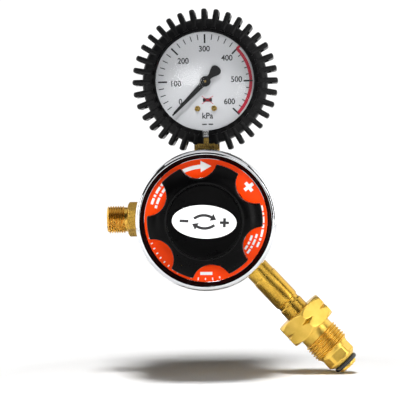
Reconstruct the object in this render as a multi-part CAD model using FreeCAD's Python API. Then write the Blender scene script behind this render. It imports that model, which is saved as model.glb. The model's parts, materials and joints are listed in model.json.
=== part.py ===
"""LPG gas regulator with a booted pressure gauge, as an assembly of separate pieces.

Millimetres. The regulator's adjusting axis is Y and the knob faces -Y. The axes of the three ports
(gauge up, outlet to the left, inlet down to the right) lie in the plane y = 0. Z is up.
The pieces are made about the point where the ports' axes meet the adjusting axis, and are moved at the end
so that the origin is on the inlet's axis, in the middle of the union nut's thread, where the regulator is held.
"""
import FreeCAD
import Part

import math
import os

V = FreeCAD.Vector

# ---------------------------------------------------------------- driving dimensions
INLET_ANGLE = -47.5          # direction of the inlet port, degrees from +X towards +Z
PORTS_Y = 7.0                # plane of the three ports' axes, behind the bonnet's rear edge
PORT_FACE = 38.0             # distance of the inlet's and outlet's port faces from the adjusting axis
GAUGE_Z = 77.8               # height of the gauge's centre above the adjusting axis
RUNNING = 0.06               # radial clearance of turning fits

# body
FLANGE_R, FLANGE_FRONT, FLANGE_REAR = 36.6, -12.0, -3.5
BARREL_R, BARREL_REAR = 27.0, 17.0
REAR_BOSS_R, REAR_BOSS_END = 12.5, 24.0
BOSS_R = 9.5
CHAMBER_R, CHAMBER_FLOOR = 26.0, -7.0
VALVE_BORE_R = 6.5
GAUGE_PORT_FACE = 35.0

# bonnet
BONNET_R, BONNET_REAR, CREST_Y, CREST_R = 39.3, -3.0, -40.0, 36.7
FACE_Y, FACE_R = -36.5, 34.4
TOWER_R, TOWER_FILLET, TOWER_TOP, TOWER_INSIDE_TOP, SPRING_BORE_R = 21.2, 2.4, -48.4, -43.4, 18.0
DIAPHRAGM_SPACE_R = 33.0

# knob and adjusting screw
SCREW_R, SCREW_PITCH, SCREW_TURNS = 6.0, 1.75, 3
KNOB_REAR = FACE_Y - SCREW_PITCH * SCREW_TURNS - 1.25     # clears the face at the end of the screw's travel
KNOB_R, KNOB_FRONT, KNOB_LOBE_FRONT, KNOB_FACE_R = 31.7, -61.5, -54.5, 21.0
KNOB_LOBES, SCALLOP_R, SCALLOP_FLOOR_R, SCALLOP_ANGLE = 6, 10.8, 23.7, 35.6
KNOB_BORE_R, KNOB_WEB = 21.8, 7.5
CAP_R, CAP_THICK = 20.4, 2.0
HEAD_ACROSS_FLATS, HEAD_THICK = 17.0, 4.0
LABEL_LONG, LABEL_WIDE = 35.2, 18.1
CLIP_GAP, CLIP_THICK = 0.5, 0.8
BUTTON_TOP, BUTTON_SEAT, BUTTON_END = 3.8, 5.9, 8.7      # depths below the tower's inside top

# outlet: 5/8 inch - 18 left-hand male thread
OUTLET_THREAD_R, OUTLET_THREAD_LENGTH, OUTLET_END = 15.875 / 2, 9.8, 57.8
OUTLET_ACROSS_FLATS, OUTLET_HEX_END = 17.2, 46.0

# inlet: 0.885 inch - 14 left-hand union with a soft-seal nose
STEM_R, COLLAR_R, GROOVE_R = 7.4, 7.3, 6.7
GROOVE_START, GROOVE_END = 65.8, 67.6
NUT_REAR, NUT_HEX_FRONT, NUT_THREAD_START, NUT_FRONT = 74.1, 87.9, 92.2, 103.5
NUT_ACROSS_FLATS, NUT_THREAD_R, NUT_NECK_R = 28.6, 11.2, 10.0
NUT_SHOULDER = 98.0
NOSE_FLANGE_R, NOSE_R, NOSE_ACROSS_FLATS = 9.6, 9.25, 17.0
NOSE_END, NOSE_TIP_R = 117.1, 5.6
O_RING_AT, O_RING_SECTION, O_RING_OUTER_R = 114.1, 2.6, 7.55

# gauge
CASE_R, CASE_WALL, CASE_BACK = 31.0, 1.0, 11.0
BEZEL_R, BEZEL_FRONT, BEZEL_INNER_R = 31.9, -18.8, 28.2
WINDOW_R, WINDOW_FRONT, WINDOW_THICK = 30.0, -17.8, 1.9
DIAL_R, DIAL_FRONT, DIAL_THICK = 29.4, -11.5, 0.5
DIAL_SCREW_X, DIAL_SCREW_Z = 4.7, -15.3
POINTER_Y, POINTER_THICK, POINTER_TIP, POINTER_TAIL, POINTER_ZERO = -13.6, 0.5, 25.5, 11.4, 225.0
SOCKET_ACROSS_FLATS = 14.3
BOOT_R, FIN_R, FIN_WIDTH, FINS = 35.4, 41.3, 3.0, 36
BOOT_FRONT, BOOT_BACK, BOOT_LIP_R = -20.6, 13.0, 27.8

# gauge movement
MODULE, PINION_TEETH, SECTOR_TEETH = 0.3, 10, 90
SECTOR_FRONT, LINK_FRONT = -6.2, -4.8
MOVEMENT_SCREW_X, MOVEMENT_SCREW_Z = 3.0, -13.0
SECTOR_PIVOT = (10.607, -10.607)
TAIL_PIN = (14.14, -14.14)
TIP_PIN = (21.5, -5.5)
TUBE_R, TUBE_RADIAL, TUBE_AXIAL = 24.0, 2.6, 7.0


# ---------------------------------------------------------------- helpers
def profile_face(points, to_vector):
    """A face from a closed outline. A point is (a, b); an arc is (mid a, mid b, end a, end b)."""
    edges = []
    start = points[0][-2:]
    here = start
    for p in list(points[1:]) + [start]:
        end = p[-2:]
        if len(p) == 4:
            edges.append(Part.Arc(to_vector(*here), to_vector(p[0], p[1]), to_vector(*end)).toShape())
        elif math.dist(here, end) > 1e-7:
            edges.append(Part.LineSegment(to_vector(*here), to_vector(*end)).toShape())
        here = end
    return Part.Face(Part.Wire(edges))


def turned_y(points):
    """Solid of revolution about the Y axis from an outline of (y, radius)."""
    return profile_face(points, lambda y, r: V(r, y, 0)).revolve(V(0, 0, 0), V(0, 1, 0), 360)


def turned_x(points):
    """Solid of revolution about the X axis from an outline of (x, radius)."""
    return profile_face(points, lambda x, r: V(x, 0, r)).revolve(V(0, 0, 0), V(1, 0, 0), 360)


def ring_y(r_in, r_out, y0, y1):
    """Washer about the Y axis; r_in may be 0."""
    return turned_y([(y0, r_in), (y0, r_out), (y1, r_out), (y1, r_in)])


def rod_y(r, y0, y1, x=0.0, z=0.0):
    return Part.makeCylinder(r, abs(y1 - y0), V(x, min(y0, y1), z), V(0, 1, 0))


def rod_x(r, x0, x1):
    return Part.makeCylinder(r, abs(x1 - x0), V(min(x0, x1), 0, 0), V(1, 0, 0))


def turned_to(shape, angle):
    """Turns a shape made along +X so that it points at an angle from +X towards +Z."""
    moved = shape.copy()
    moved.rotate(V(0, 0, 0), V(0, 1, 0), -angle)
    return moved


def port(shape, angle):
    """Turns a shape made along +X to a port's direction and moves it to the ports' plane."""
    moved = turned_to(shape, angle)
    moved.translate(V(0, PORTS_Y, 0))
    return moved


def hexagon_x(across_flats, x0, x1, turn=0.0):
    """Hexagonal bar along X with its corners chamfered at both ends, as a turned nut has."""
    r = across_flats / math.sqrt(3)
    ring = [V(x0, r * math.cos(math.radians(60 * k + turn)), r * math.sin(math.radians(60 * k + turn)))
            for k in range(7)]
    bar = Part.Face(Part.makePolygon(ring)).extrude(V(x1 - x0, 0, 0))
    cut = (r - across_flats / 2) * math.tan(math.radians(30))
    land = across_flats / 2
    envelope = turned_x([(x0, 0), (x0, land), (x0 + cut, r), (x1 - cut, r), (x1, land), (x1, 0)])
    return bar.common(envelope)


def hexagon_y(across_flats, y0, y1):
    bar = hexagon_x(across_flats, y0, y1)
    bar.rotate(V(0, 0, 0), V(0, 0, 1), 90)
    return bar


def torus_y(r_mid, section, y):
    return Part.makeTorus(r_mid, section / 2, V(0, y, 0), V(0, 1, 0))


def helix_spring_y(r_mid, wire, y0, y1, turns):
    """Round-wire compression spring about Y, between two planes."""
    low, high = y0 + wire / 2, y1 - wire / 2
    helix = Part.makeHelix((high - low) / turns, high - low, r_mid)
    circle = Part.Wire(Part.makeCircle(wire / 2, V(r_mid, 0, 0), V(0, 1, 0)))
    spring = Part.Wire(helix).makePipeShell([circle], True, True)
    spring.rotate(V(0, 0, 0), V(1, 0, 0), -90)
    spring.translate(V(0, low, 0))
    return spring


def fused(*shapes):
    whole = shapes[0]
    for s in shapes[1:]:
        whole = whole.fuse(s)
    return whole.removeSplitter()


def cut(shape, *tools):
    for t in tools:
        shape = shape.cut(t)
    return shape


def solids_of(shape):
    found = [s for s in shape.Solids if s.Volume > 1e-4]
    return found[0] if len(found) == 1 else Part.makeCompound(found)


def round_edges(shape, radius, wanted):
    """Rounds the edges that wanted(edge) picks."""
    edges = [e for e in shape.Edges if wanted(e)]
    return shape.makeFillet(radius, edges) if edges else shape


# ---------------------------------------------------------------- body and valve
def make_body():
    """Brass forging: flange for the bonnet, barrel, rear boss, three port bosses and the gas ways."""
    barrel = turned_y([(FLANGE_FRONT, 0), (FLANGE_FRONT, FLANGE_R), (FLANGE_REAR, FLANGE_R),
                       (FLANGE_REAR + 1.5, 33.0), (6.0, 30.5), (BARREL_REAR - 4, BARREL_R),
                       (BARREL_REAR, 22.0),
                       (BARREL_REAR + 2.5, REAR_BOSS_R), (REAR_BOSS_END, REAR_BOSS_R), (REAR_BOSS_END, 0)])
    boss = turned_x([(0, 0), (0, BOSS_R), (PORT_FACE - 1, BOSS_R), (PORT_FACE, BOSS_R - 1), (PORT_FACE, 0)])
    gauge_boss = turned_x([(0, 0), (0, BOSS_R), (GAUGE_PORT_FACE - 1, BOSS_R), (GAUGE_PORT_FACE, BOSS_R - 1),
                           (GAUGE_PORT_FACE, 0)])
    body = fused(barrel, port(boss, INLET_ANGLE), port(boss, 180), port(gauge_boss, 90))
    gas_ways = [
        rod_y(CHAMBER_R, FLANGE_FRONT, CHAMBER_FLOOR),
        rod_y(6.0, CHAMBER_FLOOR, -4.5),
        rod_y(5.5, -4.5, 0.5),
        rod_y(VALVE_BORE_R, 0.5, REAR_BOSS_END),
        port(rod_x(7.0, 26, PORT_FACE), INLET_ANGLE),
        port(rod_x(2.5, 0, 26), INLET_ANGLE),
        port(rod_x(6.4, 27, PORT_FACE), 180),
        port(rod_x(3.5, 15, 27), 180),
        rod_y(2.5, CHAMBER_FLOOR, PORTS_Y, x=-18),
        port(rod_x(6.6, 24, GAUGE_PORT_FACE), 90),
        port(rod_x(2.0, 16, 24), 90),
        rod_y(2.0, CHAMBER_FLOOR, PORTS_Y, z=18),
    ]
    return cut(body, *gas_ways)


def make_nozzle():
    """Valve nozzle pressed into the body, with a raised seat on its rear face."""
    return turned_y([(-4.5, 2.4), (-4.5, 5.5), (0.1, 5.5), (0.1, 3.3), (0.5, 2.9), (0.5, 2.4)])


def make_poppet():
    """Valve stem and head; the head has a pocket for the soft seat."""
    return turned_y([(-7.6, 0), (-7.6, 0.9), (-7.3, 1.2), (1.8, 1.2), (1.8, 3.5), (1.0, 3.5), (1.0, 4.2),
                     (6.0, 4.2), (6.0, 1.5), (9.0, 1.5), (9.0, 0)])


def make_rear_plug():
    end = REAR_BOSS_END
    plug = turned_y([(end - 7.5, 0), (end - 7.5, 6.4), (end - 2.6, 6.4), (end - 2.6, 5.0), (end - 0.8, 5.0),
                     (end - 0.8, 6.4), (end, 6.4), (end, 9.6), (end + 0.8, 9.6), (end + 0.8, 0)])
    return cut(fused(plug, hexagon_y(17.0, end + 0.8, end + 6.5)), rod_y(3.2, end + 3.5, end + 6.5))


# ---------------------------------------------------------------- diaphragm stack
def make_diaphragm():
    """Rubber disc with one rounded convolution, clamped at its rim."""
    back, front, thick = FLANGE_FRONT, FLANGE_FRONT - 1.6, 1.6
    return turned_y([(back, 2.6), (front, 2.6), (front, 21.5), (front - 2.2, 23.75, front, 26.0),
                     (front, 34.4),
                     (back, 34.4), (back, 26.0 - 0.6), (front - 2.2 + thick, 23.75, back, 21.5 + 0.6)])


def make_diaphragm_plate():
    """Aluminium plate that carries the spring, with a stud through the diaphragm."""
    front = FLANGE_FRONT - 1.6
    return turned_y([(-7.7, 0), (-7.7, 2.5), (front, 2.5), (front, 20.5), (front - 1.4, 21.0),
                     (front - 2.0, 20.5),
                     (front - 2.0, 17.4), (front - 4.2, 17.4), (front - 4.2, 15.6), (front - 2.0, 15.6),
                     (front - 2.0, 0)])


def make_diaphragm_nut():
    return cut(hexagon_y(9.0, -10.8, -7.9), rod_y(2.5, -10.8, -7.9))


# ---------------------------------------------------------------- bonnet
def make_bonnet():
    """Chromed bonnet: skirt over the body's flange, rolled rim, recessed face and a tower for the spring."""
    outline = [
        (BONNET_REAR, 36.7), (BONNET_REAR, BONNET_R - 0.5), (BONNET_REAR - 0.5, BONNET_R),
        (-31.5, BONNET_R), (-31.9, BONNET_R - 0.45), (-32.7, BONNET_R - 0.45), (-33.1, BONNET_R - 0.05),
        (-36.9, BONNET_R - 0.2), (-39.1, BONNET_R - 1.0, CREST_Y, CREST_R), (-39.75, CREST_R - 0.45),
        (FACE_Y - 0.75, FACE_R + 0.45), (FACE_Y - 0.3, FACE_R), (FACE_Y, FACE_R),
        (FACE_Y, TOWER_R + TOWER_FILLET),
        (FACE_Y - 0.293 * TOWER_FILLET, TOWER_R + 0.293 * TOWER_FILLET, FACE_Y - TOWER_FILLET, TOWER_R),
        (TOWER_TOP + 1.2, TOWER_R), (TOWER_TOP, TOWER_R - 1.2), (TOWER_TOP, SCREW_R + RUNNING),
        (TOWER_INSIDE_TOP, SCREW_R + RUNNING), (TOWER_INSIDE_TOP, SPRING_BORE_R),
        (FACE_Y + 3.5, SPRING_BORE_R),
        (FACE_Y + 5.5, DIAPHRAGM_SPACE_R - 8), (FACE_Y + 9.5, DIAPHRAGM_SPACE_R),
        (FLANGE_FRONT - 2.6, DIAPHRAGM_SPACE_R),
        (FLANGE_FRONT - 2.6, 36.7)]
    return turned_y(outline)


# ---------------------------------------------------------------- knob and adjusting screw
def make_knob():
    """Hollow six-lobed knob: flat face, sloping flank, finger scallops and a pocket for the screw's head."""
    front = KNOB_FRONT
    blank = turned_y([(KNOB_REAR, KNOB_BORE_R), (KNOB_REAR, KNOB_R - 0.6), (KNOB_REAR - 0.6, KNOB_R),
                      (KNOB_LOBE_FRONT, KNOB_R), (KNOB_LOBE_FRONT - 0.7, KNOB_R - 0.35,
                                                  KNOB_LOBE_FRONT - 1.1, KNOB_R - 1.1),
                      (front + 2.2, 25.6, front + 0.7, KNOB_FACE_R + 0.5), (front, KNOB_FACE_R),
                      (front, CAP_R), (front + CAP_THICK, CAP_R), (front + CAP_THICK, SCREW_R),
                      (front + KNOB_WEB, SCREW_R), (front + KNOB_WEB, KNOB_BORE_R)])
    blank = cut(blank, hexagon_y(HEAD_ACROSS_FLATS, front + CAP_THICK, front + CAP_THICK + HEAD_THICK))
    lobes = rod_y(KNOB_R + 0.01, KNOB_REAR + 1, front - 1)
    at = SCALLOP_FLOOR_R + SCALLOP_R
    for k in range(KNOB_LOBES):
        a = math.radians(SCALLOP_ANGLE + 360 / KNOB_LOBES * k)
        lobes = lobes.cut(rod_y(SCALLOP_R, KNOB_REAR + 2, front - 2, at * math.cos(a), at * math.sin(a)))
    lobes = round_edges(lobes, 0.9,
                        lambda e: e.Length > 15 and e.BoundBox.XLength + e.BoundBox.ZLength < 0.01)
    return blank.common(lobes)


def make_adjusting_screw():
    """Hex-headed screw with a turned-down end that bears in the spring button."""
    top = TOWER_INSIDE_TOP
    clip = top + CLIP_GAP
    end = top + BUTTON_TOP
    head = hexagon_y(HEAD_ACROSS_FLATS, KNOB_FRONT + CAP_THICK, KNOB_FRONT + CAP_THICK + HEAD_THICK)
    shank = turned_y([(KNOB_FRONT + CAP_THICK + HEAD_THICK, 0),
                      (KNOB_FRONT + CAP_THICK + HEAD_THICK, SCREW_R),
                      (top - 0.9, SCREW_R), (top - 0.3, SCREW_R - 0.6), (top - 0.3, 3.4), (clip, 3.4),
                      (clip, 2.9),
                      (clip + CLIP_THICK, 2.9), (clip + CLIP_THICK, 3.4), (end - 0.7, 3.4), (end - 0.1, 2.6),
                      (end - 0.1, 0)])
    return fused(head, shank)


def make_spring_button():
    """Steel button on the adjusting spring; the screw's end turns in its socket."""
    floor, seat, end = (TOWER_INSIDE_TOP + d for d in (BUTTON_TOP, BUTTON_SEAT, BUTTON_END))
    return turned_y([(floor, 0), (floor, 3.4 + RUNNING), (floor - 1.9, 3.4 + RUNNING), (floor - 1.9, 9.0),
                     (floor - 0.3, 14.0), (floor - 0.3, 16.8), (seat, 16.8), (seat, 10.2), (end, 9.4),
                     (end, 0)])


def make_knob_label():
    """Oval label on the knob's cap."""
    oval = Part.Ellipse(V(0, 0, 0), LABEL_LONG / 2, LABEL_WIDE / 2).toShape()
    label = Part.Face(Part.Wire(oval)).extrude(V(0, 0, 0.25))
    label.rotate(V(0, 0, 0), V(1, 0, 0), 90)
    label.rotate(V(0, 0, 0), V(0, 1, 0), 3.5)
    label.translate(V(0, KNOB_FRONT - 0.2, 0))
    return label


# ---------------------------------------------------------------- outlet
def make_outlet():
    """Male outlet with a hexagon, a thread land and a coned mouth."""
    front = OUTLET_END
    thread = OUTLET_END - 0.6 - OUTLET_THREAD_LENGTH + 0.2
    profile = turned_x([(27, 2.6), (27, 5.9), (27.6, 6.4), (PORT_FACE, 6.4), (PORT_FACE, 8.2),
                        (OUTLET_HEX_END, 8.2), (OUTLET_HEX_END + 0.2, 7.1), (thread - 0.7, 7.1),
                        (thread, OUTLET_THREAD_R), (front - 0.7, OUTLET_THREAD_R),
                        (front, OUTLET_THREAD_R - 0.7),
                        (front, 5.0), (front - 1.6, 4.1), (front - 10.5, 4.1), (front - 11.9, 2.6)])
    bar = hexagon_x(OUTLET_ACROSS_FLATS, PORT_FACE, OUTLET_HEX_END, turn=30)
    return port(fused(profile, cut(bar, rod_x(6.0, PORT_FACE - 1, OUTLET_HEX_END + 1))), 180)


# ---------------------------------------------------------------- inlet
def make_inlet_stem():
    """Brass stem from the body to the nose, with a shallow groove where the nut's travel ends."""
    return turned_x([(26, 2.5), (26, 6.4), (26.6, 7.0), (PORT_FACE, 7.0), (PORT_FACE, STEM_R - 0.3),
                     (PORT_FACE + 0.3, STEM_R), (GROOVE_START - 0.8, STEM_R), (GROOVE_START, GROOVE_R),
                     (GROOVE_END, GROOVE_R), (GROOVE_END + 0.6, COLLAR_R), (97.0, COLLAR_R),
                     (97.6, COLLAR_R - 0.6),
                     (97.6, 5.0), (104.0, 5.0), (104.0, 2.5), (42.0, 2.5), (42.0, 3.6), (28.0, 3.6),
                     (28.0, 2.5)])


def make_filter():
    """Sintered thimble in the stem's inlet bore, closed at its upstream end."""
    return turned_x([(29.0, 2.4), (29.0, 3.5), (41.6, 3.5), (41.6, 0), (40.0, 0), (40.0, 2.4)])


def make_union_nut():
    """Union nut: hexagon with the notched corners of a left-hand thread, neck, thread land and stem bore."""
    notch_half, notch_deep = 1.7, 1.9
    outer = turned_x([(NUT_REAR, COLLAR_R + 0.08), (NUT_REAR, 12.5), (NUT_HEX_FRONT, 12.5),
                      (NUT_HEX_FRONT, NUT_NECK_R), (NUT_THREAD_START - 0.6, NUT_NECK_R),
                      (NUT_THREAD_START, NUT_THREAD_R), (NUT_FRONT - 0.9, NUT_THREAD_R),
                      (NUT_FRONT, NUT_THREAD_R - 0.9), (NUT_FRONT, NOSE_FLANGE_R + 0.08),
                      (NUT_SHOULDER, NOSE_FLANGE_R + 0.08), (NUT_SHOULDER, COLLAR_R + 0.08)])
    bar = hexagon_x(NUT_ACROSS_FLATS, NUT_REAR, NUT_HEX_FRONT, turn=-4)
    nut = fused(outer, cut(bar, rod_x(12.0, NUT_REAR - 1, NUT_HEX_FRONT + 1)))
    middle = (NUT_REAR + NUT_HEX_FRONT) / 2
    corner = NUT_ACROSS_FLATS / math.sqrt(3)
    vee = turned_x([(middle - notch_half, corner + 0.5), (middle, corner - notch_deep),
                    (middle + notch_half, corner + 0.5)])
    return nut.cut(vee)


def make_nose():
    """Nose screwed on the stem: flange behind the nut's shoulder, spanner flats, O-ring groove and tip."""
    groove_r = O_RING_OUTER_R - O_RING_SECTION
    g0, g1 = O_RING_AT - O_RING_SECTION / 2, O_RING_AT + O_RING_SECTION / 2
    nose = turned_x([(98.05, 5.0), (98.05, NOSE_FLANGE_R), (104.9, NOSE_FLANGE_R), (105.2, NOSE_R),
                     (110.6, NOSE_R),
                     (g0 - 0.2, 7.0), (g0, 6.4), (g0, groove_r), (g1, groove_r), (g1, NOSE_TIP_R),
                     (NOSE_END - 0.6, NOSE_TIP_R), (NOSE_END, NOSE_TIP_R - 0.6), (NOSE_END, 3.4),
                     (NOSE_END - 1.2, 2.2),
                     (104.0, 2.2), (104.0, 5.0)])
    ring = turned_x([(105.3, 5.5), (105.3, 12.0), (110.0, 12.0), (110.0, 5.5)])
    flats = cut(ring, hexagon_x_plain(NOSE_ACROSS_FLATS, 105.0, 110.3))
    return nose.cut(flats)


def hexagon_x_plain(across_flats, x0, x1, turn=26.0):
    r = across_flats / math.sqrt(3)
    ring = [V(x0, r * math.cos(math.radians(60 * k + turn)), r * math.sin(math.radians(60 * k + turn)))
            for k in range(7)]
    return Part.Face(Part.makePolygon(ring)).extrude(V(x1 - x0, 0, 0))


def make_nose_o_ring():
    r_mid = O_RING_OUTER_R - O_RING_SECTION / 2
    return Part.makeTorus(r_mid, O_RING_SECTION / 2, V(O_RING_AT, 0, 0), V(1, 0, 0))


# ---------------------------------------------------------------- gauge, about its own centre
def make_socket():
    """Brass socket: tapered thread into the body, square for the spanner, neck and block for the tube."""
    base = -GAUGE_Z
    stub = Part.makeCylinder(6.6, 12.0, V(0, 0, base + 24.0))
    half = SOCKET_ACROSS_FLATS / 2
    square = Part.makeBox(2 * half, 2 * half, 9.8, V(-half, -half, base + 36.0))
    square = square.makeChamfer(0.8, [e for e in square.Edges if abs(e.CenterOfMass.z - (base + 40.9)) < 0.1])
    neck = Part.makeCylinder(5.0, 5.0, V(0, 0, base + 45.8))
    block = Part.makeBox(12.0, 12.0, 8.3, V(-6, -6, -27.5))
    tongue = Part.makeBox(10.0, 3.0, 9.2, V(-5, 1.0, -19.2))
    way = Part.makeCylinder(1.5, 27.5, V(0, 0, base + 24.0))
    screw_holes = [rod_y(0.7, 0.5, 5.0, x, MOVEMENT_SCREW_Z) for x in (-MOVEMENT_SCREW_X, MOVEMENT_SCREW_X)]
    socket = cut(fused(stub, square, neck, block, tongue), way, *screw_holes)
    slot = ring_y(TUBE_R - TUBE_RADIAL / 2, TUBE_R + TUBE_RADIAL / 2, -TUBE_AXIAL / 2, TUBE_AXIAL / 2)
    slot = slot.common(Part.makeBox(8, 20, 12, V(-7, -10, -29)))
    return cut(socket, slot)


def make_case():
    """Pressed pan with a hole for the socket's neck and a relief hole in the back."""
    pan = turned_y([(BEZEL_FRONT + 6.0, CASE_R), (CASE_BACK - 1.5, CASE_R), (CASE_BACK - 0.44, CASE_R - 0.44,
                    CASE_BACK, CASE_R - 1.5), (CASE_BACK, 0), (CASE_BACK - CASE_WALL, 0),
                    (CASE_BACK - CASE_WALL, CASE_R - 1.9), (CASE_BACK - CASE_WALL - 0.6, CASE_R - CASE_WALL),
                    (BEZEL_FRONT + 6.0, CASE_R - CASE_WALL)])
    return cut(pan, Part.makeCylinder(5.05, 8, V(0, 0, -34)), rod_y(4.0, 9, 12, z=17))


def make_bezel():
    return turned_y([(-12.6, CASE_R + 0.02), (-12.6, BEZEL_R), (BEZEL_FRONT + 0.9, BEZEL_R),
                     (BEZEL_FRONT + 0.26, BEZEL_R - 0.26, BEZEL_FRONT, BEZEL_R - 0.9),
                     (BEZEL_FRONT, BEZEL_INNER_R), (BEZEL_FRONT + 0.9, BEZEL_INNER_R),
                     (BEZEL_FRONT + 0.9, WINDOW_R + 0.1), (-13.0, WINDOW_R + 0.1), (-13.0, CASE_R + 0.02)])


def make_dial():
    dial = ring_y(1.7, DIAL_R, DIAL_FRONT, DIAL_FRONT + DIAL_THICK)
    holes = [rod_y(0.75, -13, -10, x, DIAL_SCREW_Z) for x in (-DIAL_SCREW_X, DIAL_SCREW_X)]
    return cut(dial, *holes)


def make_dial_screws():
    """Two cheese-head screws."""
    screws = []
    for x in (-DIAL_SCREW_X, DIAL_SCREW_X):
        head = turned_y([(DIAL_FRONT, 0), (DIAL_FRONT, 1.6), (DIAL_FRONT - 0.6, 1.6), (DIAL_FRONT - 0.9, 1.2),
                         (DIAL_FRONT - 0.9, 0)])
        screw = fused(head, rod_y(0.7, DIAL_FRONT, DIAL_FRONT + 3.6))
        screw = cut(screw, Part.makeBox(4, 0.5, 0.45, V(-2, DIAL_FRONT - 1.0, -0.22)))
        screw.translate(V(x, 0, DIAL_SCREW_Z))
        screws.append(screw)
    return Part.makeCompound(screws)


def make_pointer():
    """Flat pointer with a round hub and a fan-shaped counterweight, made along +X and turned to zero."""
    y = POINTER_Y
    tail = POINTER_TAIL
    outline = [(0, -1.65), (2.4, -1.6), (POINTER_TIP, -0.7), (POINTER_TIP, 0.7), (2.4, 1.6), (0, 1.65),
               (-2.6, 1.35), (-4.2, 1.4), (-tail + 3.2, 3.1), (-tail + 0.6, 2.6, -tail, 0.0),
               (-tail + 0.6, -2.6, -tail + 3.2, -3.1), (-4.2, -1.4), (-2.6, -1.35)]
    blade = profile_face(outline, lambda x, z: V(x, y, z)).extrude(V(0, POINTER_THICK, 0))
    hub = turned_y([(y - 1.0, 0.55), (y - 1.0, 2.5), (y - 0.5, 3.0), (y + POINTER_THICK + 0.6, 3.0),
                    (y + POINTER_THICK + 0.6, 0.55)])
    pointer = cut(fused(blade, hub), rod_y(0.55, y - 2, y + 3))
    return turned_to(pointer, POINTER_ZERO)


def involute_tooth(teeth, addendum, dedendum, thinning, pressure=20.0):
    """Half outline of one tooth, root to tip, as (radius, half angle) pairs."""
    r_pitch = MODULE * teeth / 2
    r_base = r_pitch * math.cos(math.radians(pressure))
    inv = math.tan(math.radians(pressure)) - math.radians(pressure)
    half = math.pi / (2 * teeth) - thinning / r_pitch
    r_root, r_tip = r_pitch - dedendum * MODULE, r_pitch + addendum * MODULE
    pairs = [(r_root, half + inv)] if r_root < r_base else []
    first = max(r_root, r_base)
    steps = 4
    for k in range(steps + 1):
        r = first + (r_tip - first) * k / steps
        a = math.acos(min(1.0, r_base / r))
        pairs.append((r, half + inv - (math.tan(a) - a)))
    return pairs


def toothed_outline(teeth, centres, addendum, dedendum, thinning):
    """Points of the teeth at the given centre angles in degrees, in increasing angle."""
    half = involute_tooth(teeth, addendum, dedendum, thinning)
    points = []
    for c in centres:
        a = math.radians(c)
        points += [(r * math.cos(a - h), r * math.sin(a - h)) for r, h in half]
        points += [(r * math.cos(a + h), r * math.sin(a + h)) for r, h in reversed(half)]
    return points


def make_pinion_shaft():
    """Pinion with its staff: runs in both plates and carries the pointer on a thin end."""
    mesh_at = math.degrees(math.atan2(SECTOR_PIVOT[1], SECTOR_PIVOT[0]))
    step = 360 / PINION_TEETH
    centres = [mesh_at + step * (k + 0.5) for k in range(PINION_TEETH)]
    points = toothed_outline(PINION_TEETH, centres, 0.9, 1.0, 0.03)
    gear = profile_face(points, lambda x, z: V(x, -6.4, z)).extrude(V(0, 2.6, 0))
    staff = turned_y([(-14.9, 0), (-14.9, 0.55), (-12.0, 0.55), (-12.0, 0.8), (1.4, 0.8), (1.4, 0)])
    return fused(gear, staff)


def make_sector():
    """Toothed sector with a bushed pivot and a tail for the link."""
    to_centre = math.degrees(math.atan2(-SECTOR_PIVOT[1], -SECTOR_PIVOT[0]))
    step = 360 / SECTOR_TEETH
    centres = [to_centre + step * k for k in range(-9, 3)]
    points = toothed_outline(SECTOR_TEETH, centres, 0.7, 1.1, 0.03)
    first, last = math.radians(centres[0] - step), math.radians(centres[-1] + step)
    rim, web = MODULE * SECTOR_TEETH / 2 - 1.1 * MODULE, 11.2
    arms = math.radians(to_centre - 26), math.radians(to_centre + 8)
    outline = ([(rim * math.cos(first), rim * math.sin(first))] + points
               + [(rim * math.cos(last), rim * math.sin(last)), (web * math.cos(last), web * math.sin(last)),
                  (web * math.cos(arms[1]), web * math.sin(arms[1])),
                  (1.6 * math.cos(arms[1]), 1.6 * math.sin(arms[1])),
                  (1.6 * math.cos(arms[0]), 1.6 * math.sin(arms[0])),
                  (web * math.cos(arms[0]), web * math.sin(arms[0])),
                  (web * math.cos(first), web * math.sin(first))])
    blade = profile_face(outline, lambda x, z: V(x, SECTOR_FRONT, z)).extrude(V(0, 1.2, 0))
    hub = rod_y(2.4, SECTOR_FRONT, SECTOR_FRONT + 1.2)
    tail_x, tail_z = TAIL_PIN[0] - SECTOR_PIVOT[0], TAIL_PIN[1] - SECTOR_PIVOT[1]
    tail = profile_face([(1.2, 1.2), (tail_x + 1.0, tail_z + 1.0),
                         (tail_x + 1.4, tail_z - 1.4, tail_x - 1.0, tail_z - 1.0),
                         (-1.2, -1.2)], lambda x, z: V(x, SECTOR_FRONT, z)).extrude(V(0, 1.2, 0))
    staff = rod_y(0.9, -9.6, 1.6)
    sector = fused(blade, hub, tail, staff)
    sector = cut(sector, rod_y(0.62, SECTOR_FRONT - 1, SECTOR_FRONT + 2, tail_x, tail_z))
    sector.translate(V(SECTOR_PIVOT[0], 0, SECTOR_PIVOT[1]))
    return sector


def make_link():
    """Flat link with a pin at each end; the pins point forwards."""
    dx, dz = TIP_PIN[0] - TAIL_PIN[0], TIP_PIN[1] - TAIL_PIN[1]
    length = math.hypot(dx, dz)
    y = LINK_FRONT
    bar = fused(Part.makeBox(length, 0.8, 1.6, V(0, y, -0.8)), rod_y(1.2, y, y + 0.8),
                rod_y(1.2, y, y + 0.8, length),
                rod_y(0.58, y - 1.7, y), rod_y(0.45, y - 1.7, y, length))
    bar = turned_to(bar, math.degrees(math.atan2(dz, dx)))
    bar.translate(V(TAIL_PIN[0], 0, TAIL_PIN[1]))
    return bar


TUBE_START, TUBE_SWEEP = 257.0, -262.0


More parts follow.
